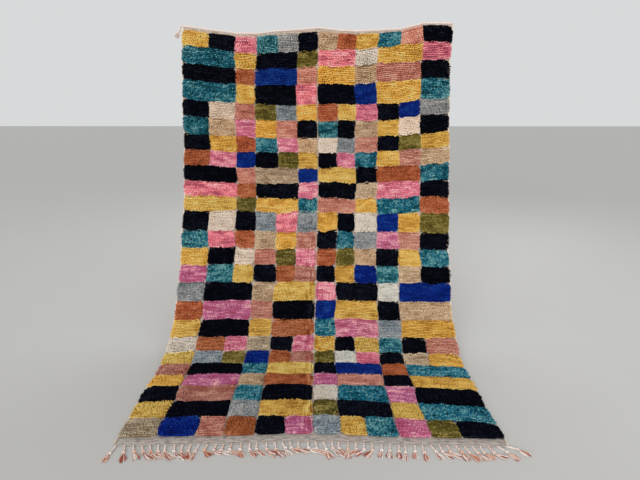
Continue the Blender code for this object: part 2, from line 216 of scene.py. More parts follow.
def lightRoom():
    world = bpy.data.worlds.new("studio air")
    world.use_nodes = True
    backdrop = world.node_tree.nodes["Background"]
    inputs = {"Color": linear(*skyLook["colour"]), "Strength": skyLook["strength"]}
    setInputs(world.node_tree, backdrop, inputs)
    bpy.context.scene.world = world
    for name, light in lights.items():
        addLight(name, light)
    bpy.context.scene.view_settings.view_transform = "Standard"


addCamera()
addFloor()
lightRoom()
print("rug: camera, floor and lights set")


# The cloth's hanging shape

cloth = {
    "width": 1.500,  # over the side bindings
    "hang": 1.930,  # top edge down to where it meets the floor
    "foot": 0.515,  # lying on the floor
    "curve": 0.320,  # radius of the hanging curve where it meets the floor
    "binding": 0.008,  # width of a side binding
    "gap": 0.0003,  # between it and the cloth
    "margin": 0.006,  # from there to the first column
    "ground": 0.004,  # thickness of the flat-woven ground
    "topBand": 0.015,  # bare ground over the first row of blocks
    "footBand": 0.038,
    "pullFade": 1.10,  # how far down half of the top edge's pull is felt, and the other half
    "bandFade": 0.05,
    "drawFade": 0.60,  # how far up the foot's pull is felt
    "edgeWave": 0.005,  # how far the sides wave in and out
    "waveRate": 19.0,
    "softFold": 0.008,
    "foldRise": 0.7,  # the folds are at their full depth this far above the floor
    "blockWobble": 0.006,  # how far a block's corner strays
    "edgeWander": 0.0044,  # how far a block's edge wanders between its corners
    "wanderFade": 0.03,  # it doesn't this close to the rug's own edges
    "creaseWander": 0.25,  # and less along the fold down the middle
    "wanderLess": 0.7,  # it wanders less to the sides than up and down
    "wanderSide": (0.12, 0.045, 51),  # sizes across and down of its patches, and seed
    "wanderDown": (0.05, 0.12, 53),
    "bendFrom": 1.17,  # the cloth has a line more in each block row of its bend
    "bendTo": 2.02,
    "middle": (0.007, 0.0927, 0.0),
}
cloth["length"] = cloth["hang"] + cloth["foot"]
cloth["inner"] = cloth["width"] - 2 * (cloth["binding"] + cloth["gap"])

# soft folds from top to bottom: their width, where they start, and how far down the upper ones fade
upperFold = {"width": 0.62, "start": 0.15, "fade": 1.3}
lowerFold = {"width": 1.15, "start": -0.10, "drift": 0.12, "share": 0.6}

# across, how far the top edge is pulled up there
topPull = (
    (-0.750, 0.026), (-0.700, 0.024), (-0.520, -0.012), (-0.360, -0.015), (-0.260, 0.006),
    (-0.160, 0.002), (-0.030, 0.017), (0.180, -0.003), (0.430, 0.008), (0.660, 0.047), (0.750, 0.036),
)
# across, how far the foot is drawn forward there
footDraw = (
    (-0.750, 0.020), (-0.350, 0.010), (-0.050, -0.007), (0.100, -0.004), (0.350, 0.012), (0.750, 0.015),
)
# down, how far a knot row bows up at the left edge, and at the right edge
rowBow = (
    (0.00, 0.000, 0.000), (0.41, 0.030, 0.031), (0.77, 0.016, 0.036), (1.02, 0.012, -0.008),
    (1.42, 0.000, -0.006), (1.70, -0.012, -0.009), (1.88, -0.020, -0.038), (2.07, -0.020, -0.044),
    (2.30, -0.006, -0.034), (2.45, 0.000, 0.000),
)
# down, how far the cloth sways to the right
sway = (
    (0.00, 0.006), (0.25, -0.002), (0.85, 0.004), (1.25, -0.005), (1.75, -0.013), (2.20, -0.012),
    (2.45, -0.003),
)

columnWidths = (0.138, 0.149, 0.113, 0.121, 0.116, 0.113, 0.111, 0.103, 0.122, 0.124, 0.121, 0.152)
rowHeights = (
    0.097, 0.089, 0.089, 0.112, 0.088, 0.096, 0.085, 0.087, 0.087, 0.082, 0.081, 0.112, 0.097,
    0.096, 0.096, 0.102, 0.104, 0.101, 0.092, 0.083, 0.098, 0.094, 0.122, 0.112, 0.108,
)
creaseColumn = 6  # the rug was stored folded along this column edge


def spreadEdges(sizes, start, end):
    places = np.concatenate([[0.0], np.cumsum(sizes)])
    return start + places * (end - start) / places[-1]


columnEdges = spreadEdges(
    columnWidths, -cloth["inner"] / 2 + cloth["margin"], cloth["inner"] / 2 - cloth["margin"]
)
rowEdges = spreadEdges(rowHeights, cloth["topBand"], cloth["length"] - cloth["footBand"])

rowMiddles = (rowEdges[:-1] + rowEdges[1:]) / 2
bends = rowMiddles[(rowMiddles > cloth["bendFrom"]) & (rowMiddles < cloth["bendTo"])]
mainAcross = np.concatenate([[-cloth["inner"] / 2], columnEdges[1:-1], [cloth["inner"] / 2]])
mainDown = np.sort(np.concatenate([[0.0, cloth["length"]], rowEdges, bends]))


def smooth(share):
    share = np.clip(share, 0.0, 1.0)
    return share * share * (3 - 2 * share)


def eased(table, place, column=1):
    # a value from a short table, with soft steps between its places
    rows = np.array(table)
    low = np.clip(np.searchsorted(rows[:, 0], place, side="right") - 1, 0, len(rows) - 2)
    share = smooth((place - rows[low, 0]) / (rows[low + 1, 0] - rows[low, 0]))
    return rows[low, column] + (rows[low + 1, column] - rows[low, column]) * share


def stretchOf(stops, place):
    # the stretch between two stops that a place lies in, and its share of the way along
    low = np.clip(np.searchsorted(stops, place, side="right") - 1, 0, len(stops) - 2)
    return low, (place - stops[low]) / (stops[low + 1] - stops[low])


def ruledAcross(table, across):
    values = eased(table, mainAcross)
    low, share = stretchOf(mainAcross, across)
    return values[low] + (values[low + 1] - values[low]) * share


def sideOf(across, down):
    # how far to the right of the middle a place lies
    low, share = stretchOf(mainDown, down)
    sides = []
    for stop in (mainDown[low], mainDown[low + 1]):
        wave = cloth["edgeWave"] * np.sin(cloth["waveRate"] * stop + across) * across / cloth["width"]
        sides.append(across + wave + eased(sway, stop))
    return sides[0] + (sides[1] - sides[0]) * share


def arcOf(across, down):
    # how far up the hanging curve a place lies, from where the cloth meets the floor
    pull = 0.5 * np.clip(1 - down / cloth["pullFade"], 0, None) ** 2
    pull = pull + 0.5 * np.clip(1 - down / cloth["bandFade"], 0, 1)
    draw = np.clip(1 - (cloth["length"] - down) / cloth["drawFade"], 0, None) ** 2
    bow = np.where(across < 0, eased(rowBow, down, 1), eased(rowBow, down, 2))
    bow = bow * (2 * across / cloth["width"]) ** 2
    up = ruledAcross(topPull, across) * pull - ruledAcross(footDraw, across) * draw
    return cloth["hang"] - down + up + bow


def foldOf(across, down, arc):
    # how far the soft folds bring a place forward
    turn = 2 * np.pi
    upper = np.sin(turn * (across / upperFold["width"] + upperFold["start"]))
    upper = upper * np.clip(1 - down / upperFold["fade"], 0, None)
    lower = np.sin(turn * (across / lowerFold["width"] + lowerFold["start"] + lowerFold["drift"] * down))
    depth = cloth["softFold"] * (upper + lower * lowerFold["share"])
    return np.where(arc > 0, depth * smooth(arc / cloth["foldRise"]), 0.0)


def clothPoint(across, down, lift):
    # places on the cloth, at a height over its underside, as points in the room
    across, down, lift = (np.asarray(part, float) for part in np.broadcast_arrays(across, down, lift))
    arc = arcOf(across, down)
    lift = lift + foldOf(across, down, arc)
    hanging = np.clip(arc, 0, None)
    chain = np.hypot(cloth["curve"], hanging)
    back = cloth["curve"] * np.arcsinh(hanging / cloth["curve"]) - lift * hanging / chain
    back = np.where(arc > 0, back, arc)
    up = chain - cloth["curve"] + lift * cloth["curve"] / chain
    return np.stack([sideOf(across, down), back, up], axis=-1) - np.array(cloth["middle"])


def driftNoise(across, down, sizeAcross, sizeDown, seed):
    # soft random patches over the cloth, from -1 to 1
    spread = np.random.default_rng(seed)
    table = spread.uniform(-1, 1, (64, 64))
    u = np.asarray(across) / sizeAcross + 200.0
    v = np.asarray(down) / sizeDown + 200.0
    left, top = np.floor(u).astype(int), np.floor(v).astype(int)
    shareU, shareV = smooth(u - left), smooth(v - top)
    corner = [[table[(top + j) % 64, (left + i) % 64] for i in (0, 1)] for j in (0, 1)]
    upper = corner[0][0] * (1 - shareU) + corner[0][1] * shareU
    lower = corner[1][0] * (1 - shareU) + corner[1][1] * shareU
    return upper * (1 - shareV) + lower * shareV


# the first rows were beaten closer at both ends: column edges, and by row edge how far it lies higher
crowdedAt = (0, 2, 5, 8, 10, 12)
crowded = {
    1: (0.024, 0.0, 0.0, 0.016, 0.029, 0.033),
    2: (0.010, 0.0, 0.0, 0.015, 0.028, 0.020),
    3: (0.0, 0.0, 0.0, 0.001, 0.004, 0.005),
}


def cornerShifts():
    # how far each block corner strays from the even grid
    shifts = np.zeros((len(rowEdges), len(columnEdges), 2))
    for row in range(1, len(rowEdges) - 1):
        for column in range(1, len(columnEdges) - 1):
            stray = random.Random(100 * row + column)
            if column != creaseColumn:
                shifts[row, column, 0] = cloth["blockWobble"] * stray.uniform(-1, 1)
            shifts[row, column, 1] = cloth["blockWobble"] * stray.uniform(-1, 1)
    for row, heights in crowded.items():
        shifts[row, :, 1] -= np.interp(np.arange(len(columnEdges)), crowdedAt, heights)
    return shifts


blockShifts = cornerShifts()


def strayed(across, down):
    # an even place, moved with the block corners round it
    column, shareAcross = stretchOf(columnEdges, across)
    row, shareDown = stretchOf(rowEdges, down)
    shareAcross = np.clip(shareAcross, 0, 1)[..., None]
    shareDown = np.clip(shareDown, 0, 1)[..., None]
    upper = blockShifts[row, column] * (1 - shareAcross) + blockShifts[row, column + 1] * shareAcross
    lower = blockShifts[row + 1, column] * (1 - shareAcross)
    lower = lower + blockShifts[row + 1, column + 1] * shareAcross
    shift = upper * (1 - shareDown) + lower * shareDown
    fade = cloth["wanderFade"]
    inside = np.clip((cloth["inner"] / 2 - np.abs(across) - 0.004) / fade, 0, 1)
    within = np.clip(np.minimum(down - rowEdges[0], rowEdges[-1] - down) / fade, 0, 1)
    wander = cloth["edgeWander"]
    side = wander * cloth["wanderLess"] * driftNoise(across, down, *cloth["wanderSide"])
    side = side * np.where(np.abs(across) < fade, cloth["creaseWander"], 1.0) * inside
    across = across + shift[..., 0] + side
    along = wander * within * driftNoise(across, down, *cloth["wanderDown"])
    return across, down + shift[..., 1] + along


# The yarns and the order of the blocks

# dark, main and light tones, a second tone that blocks drift to, more so further down the rug (partly
# the yarn's own change of hue, partly painted shade for the darker lower part), how much the tone
# changes from lock to lock (fleck) and along a knot row (streak), how much of the rug the yarn takes in
# single and in double blocks, and how much bloom it has
yarns = {
    "black": {
        "dark": (1, 2, 6), "main": (4, 5, 12), "light": (27, 30, 42),
        "second": (4, 5, 17), "fleck": 0.18, "streak": 0.16,
        "single": 0.18, "double": 0.28, "bloom": 0.0,
    },
    "gold": {
        "dark": (151, 98, 22), "main": (217, 160, 64), "light": (217, 194, 119),
        "second": (198, 167, 85), "fleck": 0.07, "streak": 0.26,
        "single": 0.15, "double": 0.20, "bloom": 0.20,
    },
    "pink": {
        "dark": (159, 66, 91), "main": (235, 131, 134), "light": (231, 176, 178),
        "second": (175, 92, 137), "fleck": 0.12, "streak": 0.32,
        "single": 0.11, "double": 0.12, "bloom": 0.25,
    },
    "teal": {
        "dark": (5, 41, 48), "main": (34, 99, 109), "light": (112, 161, 159),
        "second": (18, 104, 129), "fleck": 0.25, "streak": 0.28,
        "single": 0.10, "double": 0.09, "bloom": 0.10,
    },
    "salmon": {
        "dark": (140, 72, 58), "main": (198, 125, 106), "light": (208, 161, 138),
        "second": (164, 111, 99), "fleck": 0.12, "streak": 0.28,
        "single": 0.085, "double": 0.075, "bloom": 0.2,
    },
    "rust": {
        "dark": (116, 52, 28), "main": (173, 87, 52), "light": (192, 126, 91),
        "second": (154, 88, 50), "fleck": 0.14, "streak": 0.22,
        "single": 0.08, "double": 0.065, "bloom": 0.15,
    },
    "tan": {
        "dark": (123, 97, 69), "main": (193, 155, 118), "light": (205, 186, 157),
        "second": (164, 151, 129), "fleck": 0.13, "streak": 0.26,
        "single": 0.08, "double": 0.055, "bloom": 0.2,
    },
    "cream": {
        "dark": (157, 138, 116), "main": (220, 194, 171), "light": (221, 210, 197),
        "second": (184, 192, 187), "fleck": 0.07, "streak": 0.18,
        "single": 0.065, "double": 0.012, "bloom": 0.2,
    },
    "olive": {
        "dark": (61, 52, 15), "main": (131, 116, 49), "light": (153, 137, 78),
        "second": (80, 71, 30), "fleck": 0.18, "streak": 0.28,
        "single": 0.065, "double": 0.012, "bloom": 0.10,
    },
    "grey": {
        "dark": (75, 79, 83), "main": (138, 133, 129), "light": (178, 173, 167),
        "second": (134, 149, 157), "fleck": 0.17, "streak": 0.20,
        "single": 0.065, "double": 0.012, "bloom": 0.2,
    },
    "blue": {
        "dark": (2, 11, 65), "main": (8, 39, 111), "light": (31, 70, 143),
        "second": (4, 31, 117), "fleck": 0.12, "streak": 0.18,
        "single": 0.055, "double": 0.06, "bloom": 0.04,
    },
}

# bands of knot rows: how many rows of blocks, and the columns that join the next one there
blockBands = (
    (1, ()), (3, (0, 3, 6, 9)), (4, ()), (3, (0, 3, 6, 9)), (4, ()), (3, (1, 4, 7, 10)), (2, ()),
    (4, (1, 4, 7, 10)), (1, ()),
)
blockOrder = {
    "seed": 3,
    "chance": 0.9,
    "makeUp": 1.3,  # how fast a yarn that is short of its share catches up
    "mostAhead": -0.8,
    "cornerShy": 0.35,  # how likely two alike are to touch at a corner
}


def drawBlocks():
    # a random order in which no two blocks that touch are alike, and each yarn gets its share
    draw = random.Random(blockOrder["seed"])
    owed = {}
    rows = []
    for count, joined in blockBands:
        for _ in range(count):
            above = rows[-1] if rows else [None] * len(columnWidths)
            row = []
            while len(row) < len(columnWidths):
                at = len(row)
                span = 2 if at in joined else 1
                kind = "double" if span == 2 else "single"
                touching = set(above[at:at + span]) | set(row[-1:])
                corners = set(above[max(0, at - 1):at + span + 1])
                best = (-1.0, None)
                for name, yarn in yarns.items():
                    if name in touching:
                        continue
                    score = yarn[kind] * (1 + owed.get((name, kind), 0))
                    score *= draw.random() ** blockOrder["chance"]
                    score *= blockOrder["cornerShy"] if name in corners else 1
                    best = max(best, (score, name))
                row += [best[1]] * span
                for name, yarn in yarns.items():
                    due = yarn[kind] - (1 if name == best[1] else 0)
                    due = owed.get((name, kind), 0) + due * blockOrder["makeUp"]
                    owed[(name, kind)] = max(blockOrder["mostAhead"], due)
            rows.append(row)
    return rows


def joinedIn(row):
    first = 0
    for count, joined in blockBands:
        first += count
        if row < first:
            return joined
    return ()


blockYarns = drawBlocks()


def listBlocks():
    blocks = []
    for row, names in enumerate(blockYarns):
        joined = joinedIn(row)
        column = 0
        while column < len(names):
            span = 2 if column in joined else 1
            blocks.append({"row": row, "column": column, "span": span, "yarn": names[column]})
            column += span
    return blocks


blocks = listBlocks()
print("rug: order of", len(blocks), "blocks drawn")


# Mesh makers

def makePiece(name, points, faces):
    # faces is a list of (corner count, array of vertex numbers) groups
    mesh = bpy.data.meshes.new(name)
    corners = np.concatenate([group.ravel() for _, group in faces]).astype(np.int32)
    sizes = np.concatenate([np.full(len(group), count) for count, group in faces]).astype(np.int32)
    starts = np.concatenate([[0], np.cumsum(sizes)[:-1]]).astype(np.int32)
    mesh.vertices.add(len(points))
    mesh.vertices.foreach_set("co", np.asarray(points, np.float32).ravel())
    mesh.loops.add(len(corners))
    mesh.loops.foreach_set("vertex_index", corners)
    mesh.polygons.add(len(sizes))
    mesh.polygons.foreach_set("loop_start", starts)
    mesh.update(calc_edges=True)
    mesh.polygons.foreach_set("use_smooth", np.full(len(sizes), True))
    mesh.update()
    piece = bpy.data.objects.new(name, mesh)
    bpy.context.scene.collection.objects.link(piece)
    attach(piece, "root")
    return piece


def giveValue(piece, name, values, domain="POINT"):
    kept = piece.data.attributes.new(name, "FLOAT", domain)
    kept.data.foreach_set("value", np.asarray(values, np.float32).ravel())


def giveColour(piece, name, values):
    kept = piece.data.attributes.new(name, "FLOAT_COLOR", "CORNER")
    kept.data.foreach_set("color", np.asarray(values, np.float32).ravel())


def giveMap(piece, name, places):
    layer = piece.data.uv_layers.new(name=name)
    layer.data.foreach_set("uv", np.asarray(places, np.float32).ravel())


# The pile

pile = {
    "knotAcross": 0.0060,
    "knotDown": 0.0088,
    "height": 0.0142,  # over the ground
    "edgeHeight": 0.62,  # share of it that stands at a column edge
    "endHeight": 0.86,  # and at a row edge
    "rise": 0.020,  # how far in from an edge a block reaches its full height
    "lean": 0.0100,  # how far a lock lies down the rug
    "groove": (-0.0020, 0.0006),  # bare ground on each side of a column edge, above and below
    "grooveSpread": 0.0014,
    "creaseGroove": 0.0026,
    "room": 0.0015,  # the first knot is tied this far in
    "overhang": 0.0070,  # how far the outer knots reach over the side bindings
    "outward": 0.0066,  # and how far they lean out there
    "aside": 0.0016,  # how far locks lean aside at a column edge
    "asideReach": 0.014,
    "corner": 0.0064,  # how far the locks draw in at a block's corners
    "cornerAcross": 0.030,
    "cornerDown": 0.026,
    "setBack": 0.0060,  # a knot lies this far above the place that its lock covers
    "ragged": 0.50,  # how unevenly the last row of a block falls over the next
    "upright": 1.35,  # how far up the first row stands where it does
    "topUpright": 0.4,  # share of that in the rug's own first row
    "creep": 0.0088,  # how far the top row reaches up towards the right corner
    "creepFrom": 0.25,
    "creepOver": 0.35,
    "creepDepth": 0.05,
    "seed": 41,
}

# how far the knots and locks differ from one another: lengths in metres, the rest as shares
handTied = {
    "stagger": 0.12,  # every other knot row is set off by this share of a knot
    "across": 0.16, "down": 0.06, "anywhere": 0.0010, "height": 0.06, "swell": 0.09, "lean": 0.12,
    "leanDrift": 0.20, "turn": 0.0012, "turnDrift": 0.0022, "twist": 0.5, "girth": 0.14,
    "tone": 0.10, "second": 0.35, "fleck": 0.8, "streak": 0.85, "patch": 0.80,
}

# soft patches in which the pile swells, leans, turns, takes painted light and shade where it parts, and
# changes tone, and the uneven first and last rows of a block: size across and down, and seed
patches = {
    "swell": (0.032, 0.028, 5), "lean": (0.09, 0.06, 9), "turn": (0.07, 0.05, 13),
    "partingLightAndShade": (0.007, 0.05, 61), "tone": (0.036, 0.026, 25), "streak": (0.040, 1.0, 21),
    "lastRow": (0.013, 1.0, 71), "firstRow": (0.010, 1.0, 91),
}

# the fold down the middle: how far it is felt to the left and right, and how much it lowers the pile,
# straightens and turns its locks, darkens it with painted shade and streaks it with painted light and
# shade where it parts
crease = {
    "left": 0.065, "right": 0.045, "lower": (0.10, 0.16), "straighten": 0.35, "turn": 0.0030,
    "paintedFoldShade": 0.10, "partingLightAndShade": 0.70,
}


def tieKnots(block, spread, lower):
    # where the knots of one block are tied on the even grid, and which of its rows each is in
    left, right = columnEdges[block["column"]], columnEdges[block["column"] + block["span"]]
    top, foot = rowEdges[block["row"]], rowEdges[block["row"] + 1]
    usual = pile["groove"][0] + (pile["groove"][1] - pile["groove"][0]) * lower
    gaps = []
    for edge in (block["column"], block["column"] + block["span"]):
        gap = usual + pile["grooveSpread"] * spread.uniform(-1, 1)
        if edge == creaseColumn:
            gap = pile["creaseGroove"]
        if edge in (0, len(columnWidths)):
            gap = -pile["overhang"]
        gaps.append(gap)
    perRow = max(1, round((right - left) / pile["knotAcross"]))
    rows = max(1, round((foot - top) / pile["knotDown"]))
    place, row = (numbers.ravel() for numbers in np.meshgrid(np.arange(perRow), np.arange(rows)))
    count = len(place)
    stagger = np.where(row % 2 == 0, -handTied["stagger"], handTied["stagger"])
    share = place + 0.5 + stagger + spread.uniform(-handTied["across"], handTied["across"], count)
    share = np.clip(share / perRow, 0, 1)
    room = pile["room"]
    across = left + gaps[0] + room + share * (right - left - gaps[0] - gaps[1] - 2 * room)
    share = (row + 0.5 + spread.uniform(-handTied["down"], handTied["down"], count)) / rows
    down = top + share * (foot - top)
    across = across + spread.normal(0, handTied["anywhere"], count)
    if block["row"] == 0:
        toRight = smooth((across - pile["creepFrom"]) / pile["creepOver"])
        down = down - pile["creep"] * toRight * (1 - smooth((down - top) / pile["creepDepth"]))
    # the corners of a block are drawn in, so that it looks rounded
    middle = ((left + right) / 2, (top + foot) / 2)
    draws = pile["corner"] * spread.uniform(0.15, 1.4, (2, 2))
    draw = draws[(down > middle[1]).astype(int), (across > middle[0]).astype(int)]
    draw = draw * (1 - smooth(np.minimum(down - top, foot - down) / pile["cornerDown"]))
    draw = draw * smooth(1 - np.minimum(across - left, right - across) / pile["cornerAcross"])
    across = across - np.sign(across - middle[0]) * draw
    down = down - np.sign(down - middle[1]) * draw * 0.5
    return across, down, row, rows


def patchNoise(kind, across, down, turn=0):
    # each turn gives another pattern
    sizeAcross, sizeDown, seed = patches[kind]
    return driftNoise(across, down, sizeAcross, sizeDown, seed + turn)


def nearEdge(distance):
    return 1 - smooth(distance / pile["asideReach"])


def blockKnots(block, index):
    # the knots of one block, with how each lock stands and its shade
    spread = np.random.default_rng(pile["seed"] * 1000 + index)
    left, right = columnEdges[block["column"]], columnEdges[block["column"] + block["span"]]
    top, foot = rowEdges[block["row"]], rowEdges[block["row"] + 1]
    lower = float(smooth(top - 0.5))
    across, down, row, rows = tieKnots(block, spread, lower)
    count = len(row)
    # height over the ground
    side = smooth(np.minimum(across - left, right - across) / pile["rise"])
    end = smooth(np.minimum(down - top, foot - down + 0.004) / pile["rise"])
    height = pile["height"] * (pile["edgeHeight"] + (1 - pile["edgeHeight"]) * side)
    height *= pile["endHeight"] + (1 - pile["endHeight"]) * end
    swell = handTied["swell"] * patchNoise("swell", across, down)
    height *= 1 + swell + spread.uniform(-handTied["height"], handTied["height"], count)
    folded = 1 - smooth(np.abs(across) / np.where(across < 0, crease["left"], crease["right"]))
    height *= 1 - (crease["lower"][0] + crease["lower"][1] * lower) * folded
    # how far each lock lies down the rug
    lean = pile["lean"] * (1 + spread.uniform(-handTied["lean"], handTied["lean"], count))
    ragged = pile["ragged"] * patchNoise("lastRow", across, down, index % 5)
    lean = lean * np.where(row == rows - 1, 1 + ragged, 1.0)
    # here and there the top row of a block stands up over the block above
    upturned = np.clip(0.15 + 1.1 * patchNoise("firstRow", across, down, index % 5), 0, 1)
    upturned = upturned * (pile["topUpright"] if block["row"] == 0 else 1.0)
    lean = lean * np.where(row == 0, 1 - pile["upright"] * upturned, 1.0)
    drift = handTied["leanDrift"] * patchNoise("lean", across, down)
    lean *= 1 + drift - crease["straighten"] * folded * lower
    # and to the side: locks part at a column edge, at the fold and at the rug's own edges
    part = nearEdge(right - across) - nearEdge(across - left)
    outer = nearEdge(columnEdges[-1] - across) - nearEdge(across - columnEdges[0])
    turn = pile["aside"] * part + pile["outward"] * outer + spread.normal(0, handTied["turn"], count)
    turn = turn + handTied["turnDrift"] * patchNoise("turn", across, down)
    turn = turn + np.sign(across) * crease["turn"] * folded * lower
    # shades: of the whole block, along a knot row, in patches and lock by lock
    yarn = yarns[block["yarn"]]
    streak = patchNoise("streak", across, block["row"] * 37.0 + row, index % 7)
    partingLightAndShade = patchNoise("partingLightAndShade", across, down) * folded * lower
    patch = patchNoise("tone", across, down)
    shade = 0.5 + spread.uniform(-handTied["tone"], handTied["tone"])
    shade = shade + yarn["streak"] * (handTied["streak"] * streak + handTied["patch"] * patch)
    shade = shade + yarn["fleck"] * spread.normal(0, handTied["fleck"], count)
    # painted shade darkens the pile near the fold, and painted light and shade streak it where it parts
    shade = shade - crease["paintedFoldShade"] * folded * lower + crease["partingLightAndShade"] * partingLightAndShade
    second = spread.uniform(-handTied["second"], handTied["second"])
    # further down the rug, more of the second tone: partly the yarn's own change of hue, partly painted
    # shade
    second = np.clip(0.15 + 0.75 * top / cloth["length"] + second, 0, 1)
    across, down = strayed(across, down)
    setBack = pile["setBack"] * np.ones(count)
    if block["row"] == len(rowHeights) - 1:
        setBack = setBack * (1 - smooth((row + 1) / rows))
    return {
        "across": across, "down": down - setBack, "height": height, "lean": lean, "turn": turn,
        "shade": np.clip(shade, 0, 1), "second": np.full(count, second),
        "twist": spread.uniform(-handTied["twist"], handTied["twist"], count),
        "girth": 1 + spread.uniform(-handTied["girth"], handTied["girth"], count),
    }


# one lock of yarn: its rings, as places along it and shares of its width, and how it rises and bends
lock = {
    "width": 0.0051,
    "depth": 0.0042,
    "rings": ((0.06, 0.95), (0.84, 0.90)),
    "sides": 4,
    "riseCurve": 0.85,
    "leanCurve": 1.7,
    "turnCurve": 1.3,
    "root": 0.0010,  # it starts this far down in the ground
    "lowest": 0.0022,  # and never goes lower over the ground's underside
    "tip": (1.1, 1.12, 1.04),  # how far its tip reaches on aside, down the rug and up
    "overFloor": 0.0004,
}


def lockPoints(knots):
    # one bent, tapering lock of yarn a knot, ring by ring and then its tip
    rings = []
    for along, share in lock["rings"]:
        rise = knots["height"] * along ** lock["riseCurve"]
        reachDown = knots["lean"] * along ** lock["leanCurve"]
        reachSide = knots["turn"] * along ** lock["turnCurve"]
        slopeDown = lock["leanCurve"] * knots["lean"] * along ** (lock["leanCurve"] - 1)
        slope = np.hypot(slopeDown, knots["height"])
        outDown, outLift = -knots["height"] / slope, slopeDown / slope
        for side in range(lock["sides"]):
            angle = math.pi / 4 + 2 * math.pi * side / lock["sides"] + knots["twist"]
            wide = np.cos(angle) * lock["width"] * share * knots["girth"]
            deep = np.sin(angle) * lock["depth"] * share * knots["girth"]
            lift = cloth["ground"] - lock["root"] + rise + outLift * deep
            rings.append((
                knots["across"] + reachSide + wide,
                knots["down"] + reachDown + outDown * deep,
                np.maximum(lock["lowest"], lift),
            ))
    rings.append((
        knots["across"] + knots["turn"] * lock["tip"][0],
        knots["down"] + knots["lean"] * lock["tip"][1],
        cloth["ground"] + knots["height"] * lock["tip"][2],
    ))
    across, down, lift = (np.stack([ring[k] for ring in rings], axis=1) for k in range(3))
    points = clothPoint(across, down, lift).reshape(-1, 3)
    points[:, 2] = np.maximum(points[:, 2], lock["overFloor"])
    return points


def raiseLocks(name, knots):
    count, sides = len(knots["across"]), lock["sides"]
    alongs = [along for along, _ in lock["rings"] for _ in range(sides)] + [1.0]
    perLock = len(alongs)
    quads, quadPlaces, tips = [], [], []
    for ring in range(len(lock["rings"]) - 1):
        lower, upper = ring * sides, (ring + 1) * sides
        low, high = lock["rings"][ring][0], lock["rings"][ring + 1][0]
        for side in range(sides):
            after = (side + 1) % sides
            quads.append((lower + side, lower + after, upper + after, upper + side))
            quadPlaces.append([(0, low), (1, low), (1, high), (0, high)])
    last, high = perLock - 1 - sides, lock["rings"][-1][0]
    for side in range(sides):
        tips.append((last + side, last + (side + 1) % sides, perLock - 1))
    tipPlaces = [[(0, high), (1, high), (0.5, 1)]] * sides
    offsets = (np.arange(count) * perLock)[:, None, None]
    quadFaces = (offsets + np.array(quads)[None]).reshape(-1, 4)
    tipFaces = (offsets + np.array(tips)[None]).reshape(-1, 3)
    piece = makePiece(name, lockPoints(knots), [(4, quadFaces), (3, tipFaces)])
    giveValue(piece, "shade", np.repeat(knots["shade"], perLock))
    giveValue(piece, "second", np.repeat(knots["second"], perLock))
    giveValue(piece, "along", np.tile(np.array(alongs), count))
    # every lock has its own small cell on the map, all its sides laid over each other
    columns = math.ceil(math.sqrt(count))
    cell = 1.0 / columns
    corner = np.stack([np.arange(count) % columns, np.arange(count) // columns], axis=1) * cell
    border = 0.12
    placed = []
    for places in (quadPlaces, tipPlaces):
        spot = border + np.array(places, float) * (1 - 2 * border)
        placed.append((corner[:, None, None, :] + spot[None] * cell).reshape(-1, 2))
    giveMap(piece, "OFBake", np.concatenate(placed))
    return piece


pileFinish = {
    "fibres": (820, 240, 240),  # fine across the lock, long along it
    "clumps": 95.0,
    "fibreShade": 0.34,
    "clumpShade": 0.24,
    "rough": (0.76, 0.96),
    "bump": (0.55, 0.0012),
    "paintedDepthShade": 0.42,  # painted shade: what is left of a dark yarn's light down in the pile, and more for a pale one
    "lightFrom": 0.75,  # full light from here up
    "sheenRough": 0.5,
}


def pileMaterial(name, yarn):
    material, tree, shader = newMaterial(name + " pile wool")
    place = objectPlace(tree)
    fibres = noiseAt(tree, place, 1.0, 3.0, 0.6, pileFinish["fibres"])
    clumps = noiseAt(tree, place, pileFinish["clumps"], 2.0)
    shade = stirred(tree, valueOf(tree, "shade"), fibres, pileFinish["fibreShade"])
    shade = stirred(tree, shade, clumps, pileFinish["clumpShade"])
    dark, main, light, second = (linear(*yarn[part]) for part in ("dark", "main", "light", "second"))
    usual = ramp(tree, shade, ((0.0, dark), (0.5, main), (1.0, light)))
    drifted = ramp(tree, shade, ((0.0, dark), (0.5, second), (1.0, light)))
    colour = mixed(tree, valueOf(tree, "second"), usual, drifted)
    # painted shade: each lock is darker towards its root, down in the pile
    deep = pileFinish["paintedDepthShade"] + pileFinish["paintedDepthShade"] * sum(yarn["main"]) / 3 / 255
    lit = rangeOf(tree, valueOf(tree, "along"), deep, 1.0, end=pileFinish["lightFrom"])
    shadow = addNode(tree, "ShaderNodeCombineColor", {0: lit, 1: lit, 2: lit}).outputs["Color"]
    setInputs(tree, shader, {
        "Base Color": shaded(tree, colour, shadow),
        "Roughness": rangeOf(tree, fibres, *pileFinish["rough"]),
        "Normal": bumped(tree, fibres, *pileFinish["bump"]),
        "Specular IOR Level": 0.04 + 0.6 * yarn["bloom"],
        "Sheen Weight": yarn["bloom"],
        "Sheen Roughness": pileFinish["sheenRough"],
        "Sheen Tint": light,
    })
    return material


def layPile():
    gathered = {}
    for index, block in enumerate(blocks):
        gathered.setdefault(block["yarn"], []).append(blockKnots(block, index))
    pieces = []
    for name, parts in gathered.items():
        knots = {key: np.concatenate([part[key] for part in parts]) for key in parts[0]}
        piece = raiseLocks("pile_" + name, knots)
        piece.data.materials.append(pileMaterial(name, yarns[name]))
        pieces.append(piece)
        print("rug:", name, "pile has", len(knots["across"]), "knots")
    return pieces


pilePieces = layPile()


# The flat-woven ground

